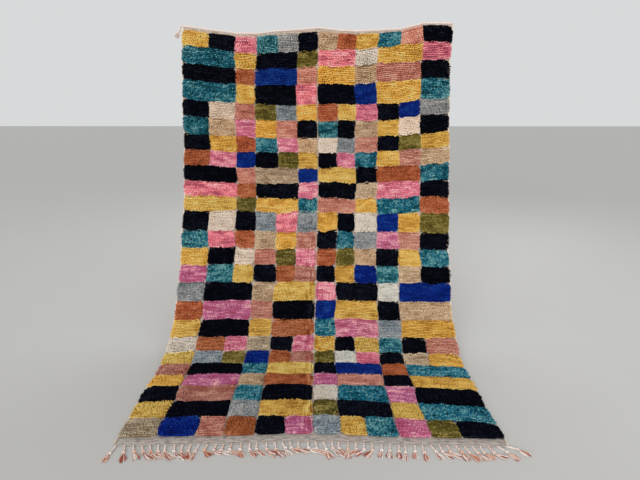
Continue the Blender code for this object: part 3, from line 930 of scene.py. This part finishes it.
ground = {
    "cellsAcross": 6,  # in a block
    "cellsDown": 7,
    "strip": 0.0024,  # half the bare strip at a column edge
    "stripLift": 0.0066,  # how high it stands
    "creaseLift": 0.0060,
    "cornerBare": 0.85,
    "bareWool": (212, 196, 172),
    "warmWool": (204, 158, 146),
    "footWool": (196, 195, 186),
    "footFrom": 0.4,  # the bare wool turns to the foot's from here down
    "footTo": 2.2,
    "fleck": (214, 122, 140),
    "fleckShare": 0.50,
    "warmShare": 0.42,
    "shadowed": 0.62,  # how much of its colour the ground keeps under the pile
    "rib": 100.0,  # how fine the weft ribs and the fluff are
    "fluff": 420.0,
    "rough": (0.80, 0.97),
    "bump": (0.7, 0.0011),
    "shine": 0.15,
    "sheen": 0.15,
}
# the back shows each knot as a small brick between the weft rows
knotBack = {
    "gap": 0.0005, "softness": 0.6, "darker": 0.72, "weft": 0.45, "wool": 0.12, "height": 1.2,
}


def groundLines():
    half = cloth["inner"] / 2
    across = [-half]
    for number in range(len(columnWidths)):
        left, right = columnEdges[number], columnEdges[number + 1]
        if number:
            left += ground["strip"]
        if number < len(columnWidths) - 1:
            right -= ground["strip"]
        across += list(np.linspace(left, right, ground["cellsAcross"] + 1))
    across.append(half)
    down = [0.0, cloth["topBand"] / 2]
    for upper, lower in zip(rowEdges[:-1], rowEdges[1:]):
        down += list(np.linspace(upper, lower, ground["cellsDown"] + 1)[:-1])
    down += list(np.linspace(rowEdges[-1], cloth["length"], 4))
    return np.array(across), np.array(down)


def cellColours(across, down):
    # for each cell of the front: its yarn's colour, whether it is bare, and whether it is in an end
    middleAcross = (across[:-1] + across[1:]) / 2
    middleDown = (down[:-1] + down[1:]) / 2
    column = np.clip(np.searchsorted(columnEdges, middleAcross) - 1, 0, len(columnWidths) - 1)
    row = np.clip(np.searchsorted(rowEdges, middleDown) - 1, 0, len(rowHeights) - 1)
    tones = {name: linear(*yarn["main"]) for name, yarn in yarns.items()}
    colours = np.array([[tones[blockYarns[r][c]] for c in column] for r in row])
    edge = np.argmin(np.abs(middleAcross[:, None] - columnEdges[None]), axis=1)
    parted = np.array([[e - 1 not in joinedIn(r) for e in edge] for r in row])
    inStrip = np.abs(middleAcross - columnEdges[edge]) < ground["strip"]
    inStrip = inStrip & (edge > 0) & (edge < len(columnWidths))
    outside = (middleAcross < columnEdges[0]) | (middleAcross > columnEdges[-1])
    banded = (middleDown < rowEdges[0]) | (middleDown > rowEdges[-1])
    woven = banded[:, None] | outside[None]
    bare = woven | (inStrip[None] & parted)
    # bare ground shows at the corners of the blocks, where the pile draws in
    cellAcross = np.array(columnWidths).mean() / ground["cellsAcross"]
    cellDown = np.array(rowHeights).mean() / ground["cellsDown"]
    rowEdge = np.argmin(np.abs(middleDown[:, None] - rowEdges[None]), axis=1)
    nextAcross = np.abs(middleAcross - columnEdges[edge]) < cellAcross
    nextDown = np.abs(middleDown - rowEdges[rowEdge]) < cellDown
    corners = nextDown[:, None] & nextAcross[None] & parted
    return colours, bare * 1.0, woven * 1.0, corners * ground["cornerBare"]


def bareWool(tree, place, ribs):
    # the wool of the flat-woven ends, with flecks, warm streaks and weft ribs, their grooves darkened
    # with painted shade
    down = addNode(tree, "ShaderNodeSeparateXYZ", {"Vector": place}).outputs["Y"]
    toFoot = rangeOf(tree, down, 0.0, 1.0, ground["footFrom"], ground["footTo"])
    wool = mixed(tree, toFoot, linear(*ground["bareWool"]), linear(*ground["footWool"]))
    flecks = noiseAt(tree, place, 1.0, 2.0, 0.7, (55, 150, 1))
    flecks = ramp(tree, flecks, ((0.56, (0, 0, 0)), (0.66, (1, 1, 1))))
    flecks = sums(tree, "MULTIPLY", flecks, ground["fleckShare"])
    wool = mixed(tree, flecks, wool, linear(*ground["fleck"]))
    streaks = noiseAt(tree, place, 1.0, 3.0, 0.6, (9, 150, 1))
    streaks = ramp(tree, streaks, ((0.42, (0, 0, 0)), (0.62, (1, 1, 1))))
    streaks = sums(tree, "MULTIPLY", streaks, ground["warmShare"])
    wool = mixed(tree, streaks, wool, linear(*ground["warmWool"]))
    # painted shade in the grooves between the weft ribs, from the same wave that gives their bump
    wool = shaded(tree, wool, ramp(tree, ribs, ((0.0, (0.56, 0.54, 0.52)), (0.55, (1, 1, 1)))))
    uneven = noiseAt(tree, place, 1.0, 2.0, 0.6, (34, 120, 1))
    return shaded(tree, wool, ramp(tree, uneven, ((0.36, (0.50, 0.50, 0.51)), (0.56, (1, 1, 1)))))


def groundMaterial():
    material, tree, shader = newMaterial("flat-woven ground")
    place = mapPlace(tree, "weavePlace")
    knot = valueOf(tree, "knotColour", "Color")
    back, woven = valueOf(tree, "back"), valueOf(tree, "woven")
    ribs = addNode(
        tree, "ShaderNodeTexWave",
        {"Vector": place, "Scale": ground["rib"], "Distortion": 1.2, "Detail": 2.0, "Detail Scale": 2.0},
        wave_type="BANDS", bands_direction="Y", wave_profile="SIN",
    ).outputs["Fac"]
    wool = bareWool(tree, place, ribs)
    front = mixed(tree, valueOf(tree, "bare"), shaded(tree, knot, (ground["shadowed"],) * 3), wool)
    weft = shaded(tree, knot, (knotBack["weft"],) * 3)
    bricks = addNode(tree, "ShaderNodeTexBrick", {
        "Vector": place, "Scale": 1.0, "Brick Width": pile["knotAcross"],
        "Row Height": pile["knotDown"] / 2, "Mortar Size": knotBack["gap"],
        "Mortar Smooth": knotBack["softness"], "Color1": knot,
        "Color2": shaded(tree, knot, (knotBack["darker"],) * 3),
        "Mortar": mixed(tree, knotBack["wool"], weft, linear(*ground["bareWool"])),
    }, offset=0.5)
    knotted = mixed(tree, woven, bricks.outputs["Color"], wool)
    colour = mixed(tree, back, front, knotted)
    fluff = noiseAt(tree, objectPlace(tree), ground["fluff"], 3.0, 0.6)
    # darker where the fluff noise is low, the noise that also raises the bump
    fluffMottle = ramp(tree, fluff, ((0.3, (0.72, 0.72, 0.71)), (0.66, (1, 1, 1))))
    raised = sums(tree, "SUBTRACT", 1.0, bricks.outputs["Fac"])
    raised = sums(tree, "MULTIPLY", raised, sums(tree, "SUBTRACT", 1.0, woven))
    height = sums(tree, "MULTIPLY_ADD", fluff, 0.35, ribs)
    raised = sums(tree, "MULTIPLY", raised, back)
    height = sums(tree, "MULTIPLY_ADD", raised, knotBack["height"], height)
    setInputs(tree, shader, {
        "Base Color": shaded(tree, colour, fluffMottle),
        "Roughness": rangeOf(tree, fluff, *ground["rough"]),
        "Normal": bumped(tree, height, *ground["bump"]),
        "Specular IOR Level": ground["shine"],
        "Sheen Weight": ground["sheen"],
    })
    return material


def weaveGround():
    across, down = groundLines()
    gridAcross, gridDown = np.meshgrid(across, down)
    strayAcross, strayDown = strayed(gridAcross, gridDown)
    colours, bare, woven, corners = cellColours(across, down)
    lift = np.full(gridAcross.shape, cloth["ground"])
    # the ground stands up a little where the pile parts between two columns
    cellStrip = (bare - woven) > 0.5
    bare = np.maximum(bare, corners)
    raised = np.zeros(gridAcross.shape, bool)
    for rows in (slice(None, -1), slice(1, None)):
        for columns in (slice(None, -1), slice(1, None)):
            raised[rows, columns] |= cellStrip
    nearCrease = np.abs(gridAcross - columnEdges[creaseColumn]) < 2 * ground["strip"]
    lift = np.where(raised, np.where(nearCrease, ground["creaseLift"], ground["stripLift"]), lift)
    front = clothPoint(strayAcross, strayDown, lift).reshape(-1, 3)
    under = clothPoint(strayAcross, strayDown, 0.0).reshape(-1, 3)
    rows, columns = gridAcross.shape
    number = np.arange(rows * columns).reshape(rows, columns)
    a, b, c, d = number[:-1, :-1], number[:-1, 1:], number[1:, 1:], number[1:, :-1]
    frontFaces = np.stack([a, d, c, b], axis=-1).reshape(-1, 4)
    base = rows * columns
    underFaces = np.stack([a, b, c, d], axis=-1).reshape(-1, 4) + base
    rims = []
    for line in (number[0, ::-1], number[-1], number[:, 0], number[::-1, -1]):
        rims.append(np.stack([line[:-1], line[:-1] + base, line[1:] + base, line[1:]], axis=-1))
    rimFaces = np.concatenate(rims)
    faces = np.concatenate([frontFaces, underFaces, rimFaces])
    piece = makePiece("rug_ground", np.concatenate([front, under]), [(4, faces)])
    count, rimCount = len(frontFaces), len(rimFaces)
    cells = colours.reshape(-1, 3)
    rimColour = np.tile(np.array([linear(*ground["bareWool"])]), (rimCount, 1))
    perFace = np.concatenate([cells, cells, rimColour])
    perFace = np.concatenate([perFace, np.ones((len(perFace), 1))], axis=1)
    giveColour(piece, "knotColour", np.repeat(perFace, 4, axis=0))
    ones = np.ones(rimCount)
    giveValue(piece, "bare", np.concatenate([bare.ravel(), bare.ravel(), ones]), "FACE")
    giveValue(piece, "woven", np.concatenate([woven.ravel(), woven.ravel(), ones]), "FACE")
    giveValue(piece, "back", np.concatenate([np.zeros(count), np.ones(count), ones * 0]), "FACE")
    flat = np.stack([gridAcross.ravel(), gridDown.ravel()], axis=1)
    flat = np.concatenate([flat, flat])
    giveMap(piece, "weavePlace", flat[faces.ravel()])
    # the map that the finish is kept on: front and back side by side
    room = [cloth["width"] * 2.04, cloth["length"] * 1.02]
    kept = np.concatenate([flat[:base] + [cloth["width"] * at, 0] for at in (0.5, 1.54)]) / room
    giveMap(piece, "OFBake", kept[faces.ravel()] * 0.98 + 0.01)
    piece.data.materials.append(groundMaterial())
    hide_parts("rug_cloth")
    return piece


rugGround = weaveGround()
print("rug: ground woven")


# Cords: twisted yarns, bindings and fringe are all made of round strands

def newBundle():
    return {"points": [], "quads": [], "tris": [], "shade": [], "strands": []}


def ringFrames(centres):
    # two directions square to the line at each of its points, without twisting
    ahead = np.gradient(centres, axis=0)
    ahead /= np.linalg.norm(ahead, axis=1)[:, None]
    start = np.array([0.0, 0.0, 1.0]) if abs(ahead[0][2]) < 0.8 else np.array([0.0, 1.0, 0.0])
    side = np.cross(ahead[0], start)
    side /= np.linalg.norm(side)
    sides = []
    for direction in ahead:
        side = side - direction * np.dot(side, direction)
        side /= np.linalg.norm(side)
        sides.append(side)
    sides = np.array(sides)
    return sides, np.cross(ahead, sides)


def lengthsAlong(centres):
    return np.concatenate([[0], np.cumsum(np.linalg.norm(np.diff(centres, axis=0), axis=1))])


def addTube(bundle, centres, radii, sides, shade=0.5):
    # a closed round strand along the centres
    centres = np.asarray(centres, float)
    radii = np.broadcast_to(np.asarray(radii, float), (len(centres),))
    first, second = ringFrames(centres)
    angles = 2 * np.pi * np.arange(sides) / sides
    ring = first[:, None] * np.cos(angles)[None, :, None]
    ring = ring + second[:, None] * np.sin(angles)[None, :, None]
    points = centres[:, None] + ring * radii[:, None, None]
    base = sum(len(part) for part in bundle["points"])
    count = len(centres)
    bundle["points"] += [points.reshape(-1, 3), np.stack([centres[0], centres[-1]])]
    k = np.arange(sides)
    after = (k + 1) % sides
    rings = base + np.arange(count - 1)[:, None] * sides
    quads = np.stack([rings + k, rings + after, rings + sides + after, rings + sides + k], axis=-1)
    startCap = np.stack([np.full(sides, base + count * sides), base + after, base + k], axis=-1)
    last = base + (count - 1) * sides
    endCap = np.stack([np.full(sides, base + count * sides + 1), last + k, last + after], axis=-1)
    bundle["quads"].append(quads.reshape(-1, 4))
    bundle["tris"].append(np.concatenate([startCap, endCap]))
    bundle["shade"].append(np.full(count * sides + 2, shade))
    # how far along and how far round each corner lies
    steps = lengthsAlong(centres)
    near, far = np.repeat(steps[:-1], sides), np.repeat(steps[1:], sides)
    here, onward = np.tile(k, count - 1) / sides, np.tile(k + 1, count - 1) / sides
    corners = ((near, here), (near, onward), (far, onward), (far, here))
    quadPlaces = np.stack([np.stack(corner, axis=1) for corner in corners], axis=1)
    capPlaces = []
    for place, order in ((steps[0], (1, 0)), (steps[-1], (0, 1))):
        for n in range(sides):
            edge = [(place, (n + o) / sides) for o in order]
            capPlaces.append([(place, (n + 0.5) / sides), *edge])
    bundle["strands"].append({"length": steps[-1], "quads": quadPlaces, "caps": np.array(capPlaces)})


def addTwist(bundle, centres, radius, pitch, shades, sides=5, start=0.0):
    # two yarns laid round each other
    centres = np.asarray(centres, float)
    radii = np.broadcast_to(np.asarray(radius, float), (len(centres),))
    first, second = ringFrames(centres)
    steps = lengthsAlong(centres)
    for ply, shade in enumerate(shades):
        turn = start + 2 * np.pi * (steps / pitch + ply / len(shades))
        offset = first * np.cos(turn)[:, None] + second * np.sin(turn)[:, None]
        addTube(bundle, centres + offset * radii[:, None] * 0.48, radii * 0.56, sides, shade)


def crossways(direction):
    # two directions square to this one, the first of them level where it can be
    side = np.cross(direction, [0, 0, 1.0])
    if np.linalg.norm(side) < 0.2:
        side = np.cross(direction, [0, 1.0, 0])
    side /= np.linalg.norm(side)
    return side, np.cross(side, direction)


def tieBundle(name, bundle, wideCells=False):
    points = np.concatenate(bundle["points"])
    quads = np.concatenate(bundle["quads"])
    tris = np.concatenate(bundle["tris"])
    piece = makePiece(name, points, [(4, quads), (3, tris)])
    giveValue(piece, "shade", np.concatenate(bundle["shade"]))
    strands = bundle["strands"]
    quadPlaces = np.concatenate([strand["quads"].reshape(-1, 2) for strand in strands])
    capPlaces = np.concatenate([strand["caps"].reshape(-1, 2) for strand in strands])
    giveMap(piece, "yarnPlace", np.concatenate([quadPlaces, capPlaces]))
    columns = 1 if wideCells else math.ceil(math.sqrt(len(strands) / 3))
    rows = math.ceil(len(strands) / columns)
    # every strand has its own cell on the map that the finish is kept on
    placed = {"quads": [], "caps": []}
    for number, strand in enumerate(strands):
        corner = np.array([number % columns / columns, number // columns / rows])
        size = np.array([0.92 / columns / strand["length"], 0.86 / rows])
        for part in placed:
            placed[part].append((corner + 0.0005 + strand[part] * size).reshape(-1, 2))
    giveMap(piece, "OFBake", np.concatenate(placed["quads"] + placed["caps"]))
    return piece


# each yarn's tones from dark to light, and how fine its fibres are
cordYarns = {
    "fringe cord wool": {
        "stops": (
            (0.0, (150, 62, 40)), (0.26, (206, 134, 104)), (0.5, (222, 188, 164)),
            (0.74, (220, 202, 196)), (1.0, (234, 224, 216)),
        ),
        "fibres": 160,
    },
    "heading wool": {
        "stops": ((0.0, (132, 116, 108)), (0.5, (172, 164, 156)), (1.0, (196, 190, 182))),
        "fibres": 240,
    },
    "binding wool": {
        "stops": ((0.0, (150, 128, 112)), (0.5, (206, 188, 170)), (1.0, (232, 218, 202))),
        "fibres": 240,
    },
}
cordFinish = {
    "fibreShade": 0.8,
    "patches": 26.0,
    "patchShade": 0.5,
    "fluff": 600.0,
    "rough": (0.78, 0.96),
    "bump": (0.6, 0.0008),
    "shine": 0.15,
    "sheen": 0.2,
}


def yarnMaterial(name):
    yarn = cordYarns[name]
    material, tree, shader = newMaterial(name)
    place = objectPlace(tree)
    fibres = noiseAt(tree, mapPlace(tree, "yarnPlace"), 1.0, 3.0, 0.65, (yarn["fibres"], 9, 1))
    fluff = noiseAt(tree, place, cordFinish["fluff"], 2.0, 0.6)
    uneven = noiseAt(tree, place, cordFinish["patches"], 2.0)
    shade = stirred(tree, valueOf(tree, "shade"), fibres, cordFinish["fibreShade"])
    shade = stirred(tree, shade, uneven, cordFinish["patchShade"])
    tones = ramp(tree, shade, tuple((stop, linear(*colour)) for stop, colour in yarn["stops"]))
    # darker where the fluff noise is low, the noise that also raises the bump
    fluffMottle = ramp(tree, fluff, ((0.2, (0.78, 0.76, 0.74)), (0.7, (1, 1, 1))))
    height = sums(tree, "MULTIPLY_ADD", fluff, 0.4, fibres)
    setInputs(tree, shader, {
        "Base Color": shaded(tree, tones, fluffMottle),
        "Roughness": rangeOf(tree, fluff, *cordFinish["rough"]),
        "Normal": bumped(tree, height, *cordFinish["bump"]),
        "Specular IOR Level": cordFinish["shine"],
        "Sheen Weight": cordFinish["sheen"],
    })
    return material


cordWool, headingWool, bindingWool = (yarnMaterial(name) for name in cordYarns)

# Side bindings, overcast round the outer warps

binding = {
    "step": 0.0022,
    "wrap": 0.0066,  # the yarn goes once round in this length
    "slant": 0.0016,  # it lies this much lower in front than behind
    "ripple": 0.13,  # how far each turn of it stands out
    "uneven": 0.05,
    "sides": 9,
    "height": 0.0070,
    "fill": 0.90,  # how much of its room the binding takes up
    "tone": 0.62,
    "toneSpread": 0.25,  # how far one turn's tone differs from another's
    # painted light and shade on the turns, by how far each turn stands out
    "paintedRippleShade": 0.22,
    "overFloor": 0.0004,
    "seed": 8,
}


def overcastSide(name, side, node):
    bundle = newBundle()
    spread = np.random.default_rng(binding["seed"] + side)
    count = int(cloth["length"] / binding["step"])
    down = np.linspace(0.0, cloth["length"], count)
    middle = side * (cloth["inner"] / 2 + cloth["gap"]) + side * cloth["binding"] / 2
    phase = 2 * np.pi * down / binding["wrap"] + 3 * driftNoise(down, down * 0, 0.05, 1, 33)
    ripple = 1 + binding["ripple"] * np.sin(phase)
    radius = (1 + binding["uneven"] * driftNoise(down, down * 0, 0.02, 1, 31)) * ripple
    angles = 2 * np.pi * np.arange(binding["sides"]) / binding["sides"]
    wide, high = (size / 2 * binding["fill"] for size in (cloth["binding"], binding["height"]))
    ringAcross = middle + np.cos(angles)[None] * wide * radius[:, None]
    ringLift = binding["height"] / 2 + np.sin(angles)[None] * high * radius[:, None]
    ringLift = np.maximum(ringLift, binding["overFloor"])
    ringDown = np.clip(down[:, None] + np.sin(angles)[None] * binding["slant"], 0, cloth["length"])
    points = clothPoint(ringAcross, ringDown, ringLift)
    centres = clothPoint(np.full(count, middle), down, np.full(count, binding["height"] / 2))
    # the rings run the way that makes the faces point outwards
    square = np.cross(points[0, 1] - points[0, 0], points[0, 2] - points[0, 1])
    if np.dot(square, centres[1] - centres[0]) < 0:
        points = points[:, ::-1]
    # a plain tube gives the faces, and these rings its places and shades
    addTube(bundle, centres, 0.003, binding["sides"])
    bundle["points"][-2] = points.reshape(-1, 3)
    wraps = np.floor(down / binding["wrap"]).astype(int)
    toneSpread = binding["toneSpread"]
    tones = binding["tone"] + spread.uniform(-toneSpread, toneSpread, wraps.max() + 1)
    # painted light and shade: each turn is lighter where it stands out and darker between the turns
    shade = tones[wraps] + binding["paintedRippleShade"] * (ripple - 1) / binding["ripple"]
    bundle["shade"][-1] = np.concatenate([np.repeat(shade, binding["sides"]), [0.5, 0.5]])
    piece = tieBundle(name, bundle, wideCells=True)
    piece.data.materials.append(bindingWool)
    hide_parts(node)
    return piece


sideBindings = [
    overcastSide("side_binding_left", -1, "side_cord_left"),
    overcastSide("side_binding_right", 1, "side_cord_right"),
]
print("rug: side bindings sewn")

# The twined cord along the top, and its loose end at the left corner

topRope = {
    "radius": 0.0055,
    "uneven": 0.12,
    "above": 0.0061,  # how far it lies over the cloth's top edge
    "waver": 0.0010,
    "pitch": 0.019,
    "step": 0.0045,
    "sides": 7,
    "tones": (0.82, 0.60),
}


def twineTop():
    bundle = newBundle()
    half = cloth["width"] / 2 - topRope["radius"] / 2
    count = int(2 * half / topRope["step"])
    across = np.linspace(-half, half, count)
    waver = (driftNoise(across, across * 0, 0.055, 1, 19) + 1) / 2
    above = topRope["above"] + topRope["waver"] * waver
    centres = clothPoint(across, -above, np.full(count, cloth["ground"] / 2))
    uneven = topRope["uneven"] * driftNoise(across, across * 0, 0.03, 1, 17)
    radius = topRope["radius"] * (1 + uneven)
    addTwist(bundle, centres, radius, topRope["pitch"], topRope["tones"], topRope["sides"])
    piece = tieBundle("top_rope", bundle, wideCells=True)
    piece.data.materials.append(cordWool)
    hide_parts("top_cord")
    return piece


# a loose yarn end, and how far the ends of one cord differ
looseYarn = {
    "radius": 0.00190,
    "taper": (0.9, 1.1, 1.1, 1.05, 1.0, 0.85, 0.5),
    "sides": 4,
    "astray": 0.25,
    "lengths": (0.72, 1.08),
    "arch": (1.9, 1.05),  # it bends out and then back
    "waves": (4, 8),
    "curl": 0.30,
    "overFloor": 0.0016,
}


def frayEnd(bundle, start, direction, length, fray, draw):
    # loose yarn ends that fan out from a point
    side, rise = crossways(direction)
    for number in range(fray["yarns"]):
        fan = (number + 0.5) / fray["yarns"] * 2 - 1
        fan += draw.uniform(-looseYarn["astray"], looseYarn["astray"])
        lift = draw.uniform(-1, 1)
        own = length * draw.uniform(*looseYarn["lengths"])
        steps = np.linspace(0, 1, len(looseYarn["taper"]))[:, None]
        bend = side * fan * fray["fan"] + rise * lift * fray["depth"]
        arch = np.sin(steps * looseYarn["arch"][0]) * looseYarn["arch"][1]
        centres = start + direction * own * steps + bend * arch
        waver = np.sin(steps * draw.uniform(*looseYarn["waves"]) + draw.uniform(0, 6)) * steps
        curl = draw.uniform(-looseYarn["curl"], looseYarn["curl"])
        centres = centres + side * curl * fray["fan"] * waver
        if fray["onFloor"]:
            centres[:, 2] = np.maximum(centres[:, 2], looseYarn["overFloor"])
        radii = looseYarn["radius"] * np.array(looseYarn["taper"])
        addTube(bundle, centres, radii, looseYarn["sides"], draw.choice(fray["tones"]))


# an overhand knot's turn, as shares of its radius and height
overhand = {"turns": 1.15, "across": 0.62, "up": 0.60, "along": 1.1, "cord": 0.46, "lean": 0.35}


def addKnot(bundle, centre, direction, radius, height, draw):
    # a fat turn of the cord round itself, that leans a little
    direction = direction / np.linalg.norm(direction)
    side, rise = crossways(direction)
    turn = np.linspace(0, 2 * np.pi * overhand["turns"], 11)
    lean = draw.uniform(-overhand["lean"], overhand["lean"])
    loop = centre + side * (np.cos(turn) * radius * overhand["across"])[:, None]
    loop = loop + rise * (np.sin(turn) * height * overhand["up"])[:, None]
    along = (turn / turn[-1] - 0.5) * radius * overhand["along"] + lean * np.cos(turn) * radius
    loop = loop + direction * along[:, None]
    addTube(bundle, loop, radius * overhand["cord"], 6, draw.uniform(0.45, 1.0))


tail = {
    "length": 0.070,
    "start": (-0.0046, 0.0, 0.002),  # from the corner of the cloth
    "lean": (-0.50, -0.05, -1.0),
    "twined": 0.62,  # share of its length
    "radius": 0.0055,
    "pitch": 0.015,
    "twinedTones": (0.85, 0.6),
    "knotAt": 0.36,
    "knotSize": (0.0080, 0.0072),
    "looseFrom": 0.50,
    "yarns": 34,
    "fan": 0.0130,
    "depth": 0.0090,
    "onFloor": False,
    "tones": (0.55, 0.7, 0.85, 1.0),
    "seed": 5,
}


def tieTail():
    bundle = newBundle()
    draw = random.Random(tail["seed"])
    start = clothPoint(-cloth["width"] / 2, -topRope["radius"], cloth["ground"] / 2)
    start = start + np.array(tail["start"])
    lean = np.array(tail["lean"])
    lean /= np.linalg.norm(lean)
    centres = start + lean * tail["length"] * np.linspace(0, tail["twined"], 14)[:, None]
    addTwist(bundle, centres, tail["radius"], tail["pitch"], tail["twinedTones"], 6)
    knot = start + lean * tail["length"] * tail["knotAt"]
    addKnot(bundle, knot, lean, *tail["knotSize"], draw)
    loose = tail["length"] * tail["looseFrom"]
    frayEnd(bundle, start + lean * loose, lean, loose * 1.05, tail, draw)
    piece = tieBundle("corner_tassel", bundle)
    piece.data.materials.append(cordWool)
    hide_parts("corner_tail")
    return piece


topRopePiece = twineTop()
cornerTassel = tieTail()
print("rug: top rope twined")

# The knotted fringe along the foot

heading = {
    "step": 0.0048,
    "ends": 0.002,
    "lines": (0.0028, 0.0074),  # how far each twined line lies before the cloth
    "lift": 0.0025,
    "radius": 0.0026,
    "pitch": 0.0125,
    "turn": 1.5,  # how far the second line is turned against the first, in radians
    "tones": (0.75, 0.45),
}

fringe = {
    "strands": 48,
    "strip": 0.010,
    "margin": 0.0065,  # from the cloth's side to the first strand
    "astray": 0.0045,
    "blend": 0.5,  # how much a strand turns as its neighbours do
    "lengths": (0.92, 1.08),
    "rootBack": 0.004,
    "rootLift": 0.0030,
    "knotAlong": 0.50,
    "knotSize": (0.0066, 0.0050),
    "knotLift": 0.0016,
    "cordRadius": 0.0041,
    "pitch": 0.014,
    "bow": 0.0018,
    "yarns": 11,
    "fan": 0.0115,
    "depth": 0.0015,
    "onFloor": True,
    "tones": (0.0, 0.05, 0.2, 0.4, 0.65, 0.9, 1.0, 1.0),
    "swing": 1.8,  # how much further than the plan the loose ends turn
    "aslant": 0.40,  # and how much longer they are where they turn aside
    "gap": 0.0006,
    "overFloor": 0.0003,
    "seed": 35,
}
# strands, length, turn of the cord and of its tip in degrees, to the right
fringeGroups = (
    (1, 0.085, -6, -8), (2, 0.080, 22, 15), (2, 0.078, 26, 34), (4, 0.074, 12, 29), (1, 0.076, 0, 4),
    (1, 0.076, -8, -14), (4, 0.068, -4, 42), (1, 0.072, 4, 22), (4, 0.074, 6, 29), (1, 0.074, 22, 24),
    (4, 0.068, 4, 39), (1, 0.080, 14, 18), (2, 0.068, 2, 28), (1, 0.076, -2, -4), (3, 0.066, -4, -34),
    (6, 0.070, -8, -5), (1, 0.072, 18, 24), (2, 0.066, 0, 34), (1, 0.078, 18, 24), (2, 0.074, 12, 18),
    (2, 0.066, 4, 30), (1, 0.082, 36, 38), (1, 0.074, 66, 38),
)


def planStrands():
    groups = [group for group in fringeGroups for _ in range(group[0])]
    spread = random.Random(fringe["seed"])
    pitch = (cloth["inner"] - 2 * fringe["margin"]) / (fringe["strands"] - 1)
    plan = []
    for number, group in enumerate(groups):
        before, after = groups[max(0, number - 1)], groups[min(len(groups) - 1, number + 1)]
        lone = group[0] == 1
        turns = group[2:]
        if not lone:
            around = [(b + a) / 2 * fringe["blend"] for b, a in zip(before[2:], after[2:])]
            turns = [own * (1 - fringe["blend"]) + other for own, other in zip(turns, around)]
        shift = 0.0 if lone else spread.uniform(-fringe["astray"], fringe["astray"])
        plan.append({
            "across": -cloth["inner"] / 2 + fringe["margin"] + pitch * number + shift,
            "length": group[1] * spread.uniform(*fringe["lengths"]),
            "cord": math.radians(turns[0]),
            "tip": math.radians(turns[1] * (1 if lone else fringe["swing"])),
        })
    return plan


def restOnFloor(bundle):
    for part in bundle["points"]:
        part[:, 2] = np.maximum(part[:, 2], fringe["overFloor"])


def twineHeading():
    # the twined lines that the strands come out of
    bundle = newBundle()
    half = cloth["inner"] / 2 - heading["ends"]
    across = np.linspace(-half, half, int(cloth["inner"] / heading["step"]))
    for number, before in enumerate(heading["lines"]):
        line = clothPoint(across, cloth["length"], 0.0)
        line[:, 1] -= fringe["gap"] + before
        line[:, 2] = heading["lift"]
        turn = heading["turn"] * number
        addTwist(bundle, line, heading["radius"], heading["pitch"], heading["tones"], start=turn)
    restOnFloor(bundle)
    piece = tieBundle("fringe_heading", bundle, wideCells=True)
    piece.data.materials.append(headingWool)
    return piece


def aimed(turn):
    # level, and turned to the right from straight ahead
    return np.array([math.sin(turn), -math.cos(turn), 0.0])


def tieStrand(bundle, strand, draw):
    # two yarns twisted together, a knot, and the loose ends beyond it
    root = clothPoint(strand["across"], cloth["length"], 0.0)
    root = root + np.array([0, -fringe["gap"] - fringe["strip"] + fringe["rootBack"], 0])
    root[2] = fringe["rootLift"]
    ahead = aimed(strand["cord"])
    toKnot = strand["length"] * fringe["knotAlong"] + fringe["rootBack"]
    steps = np.linspace(0, 1, 13)[:, None]
    bow = np.cross(ahead, [0, 0, 1.0]) * draw.uniform(-fringe["bow"], fringe["bow"])
    centres = root + ahead * toKnot * steps + bow * np.sin(steps * np.pi)
    tones = (0.95, draw.uniform(0.35, 0.8))
    start = draw.uniform(0, 6)
    addTwist(bundle, centres, fringe["cordRadius"], fringe["pitch"], tones, start=start)
    knot = centres[-1] + np.array([0, 0, fringe["knotLift"]])
    addKnot(bundle, knot, ahead, *fringe["knotSize"], draw)
    beyond = centres[-1] + ahead * 0.003
    length = strand["length"] * (1 - fringe["knotAlong"])
    length = length * (1 + fringe["aslant"] * abs(math.sin(strand["tip"]))) - 0.001
    frayEnd(bundle, beyond, aimed(strand["tip"]), length, fringe, draw)


def knotFringe():
    bundle = newBundle()
    draw = random.Random(fringe["seed"] + 1)
    for strand in planStrands():
        tieStrand(bundle, strand, draw)
    restOnFloor(bundle)
    piece = tieBundle("knotted_fringe", bundle)
    piece.data.materials.append(cordWool)
    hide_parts("foot_fringe")
    return piece


fringePieces = [twineHeading(), knotFringe()]
print("rug: fringe knotted")
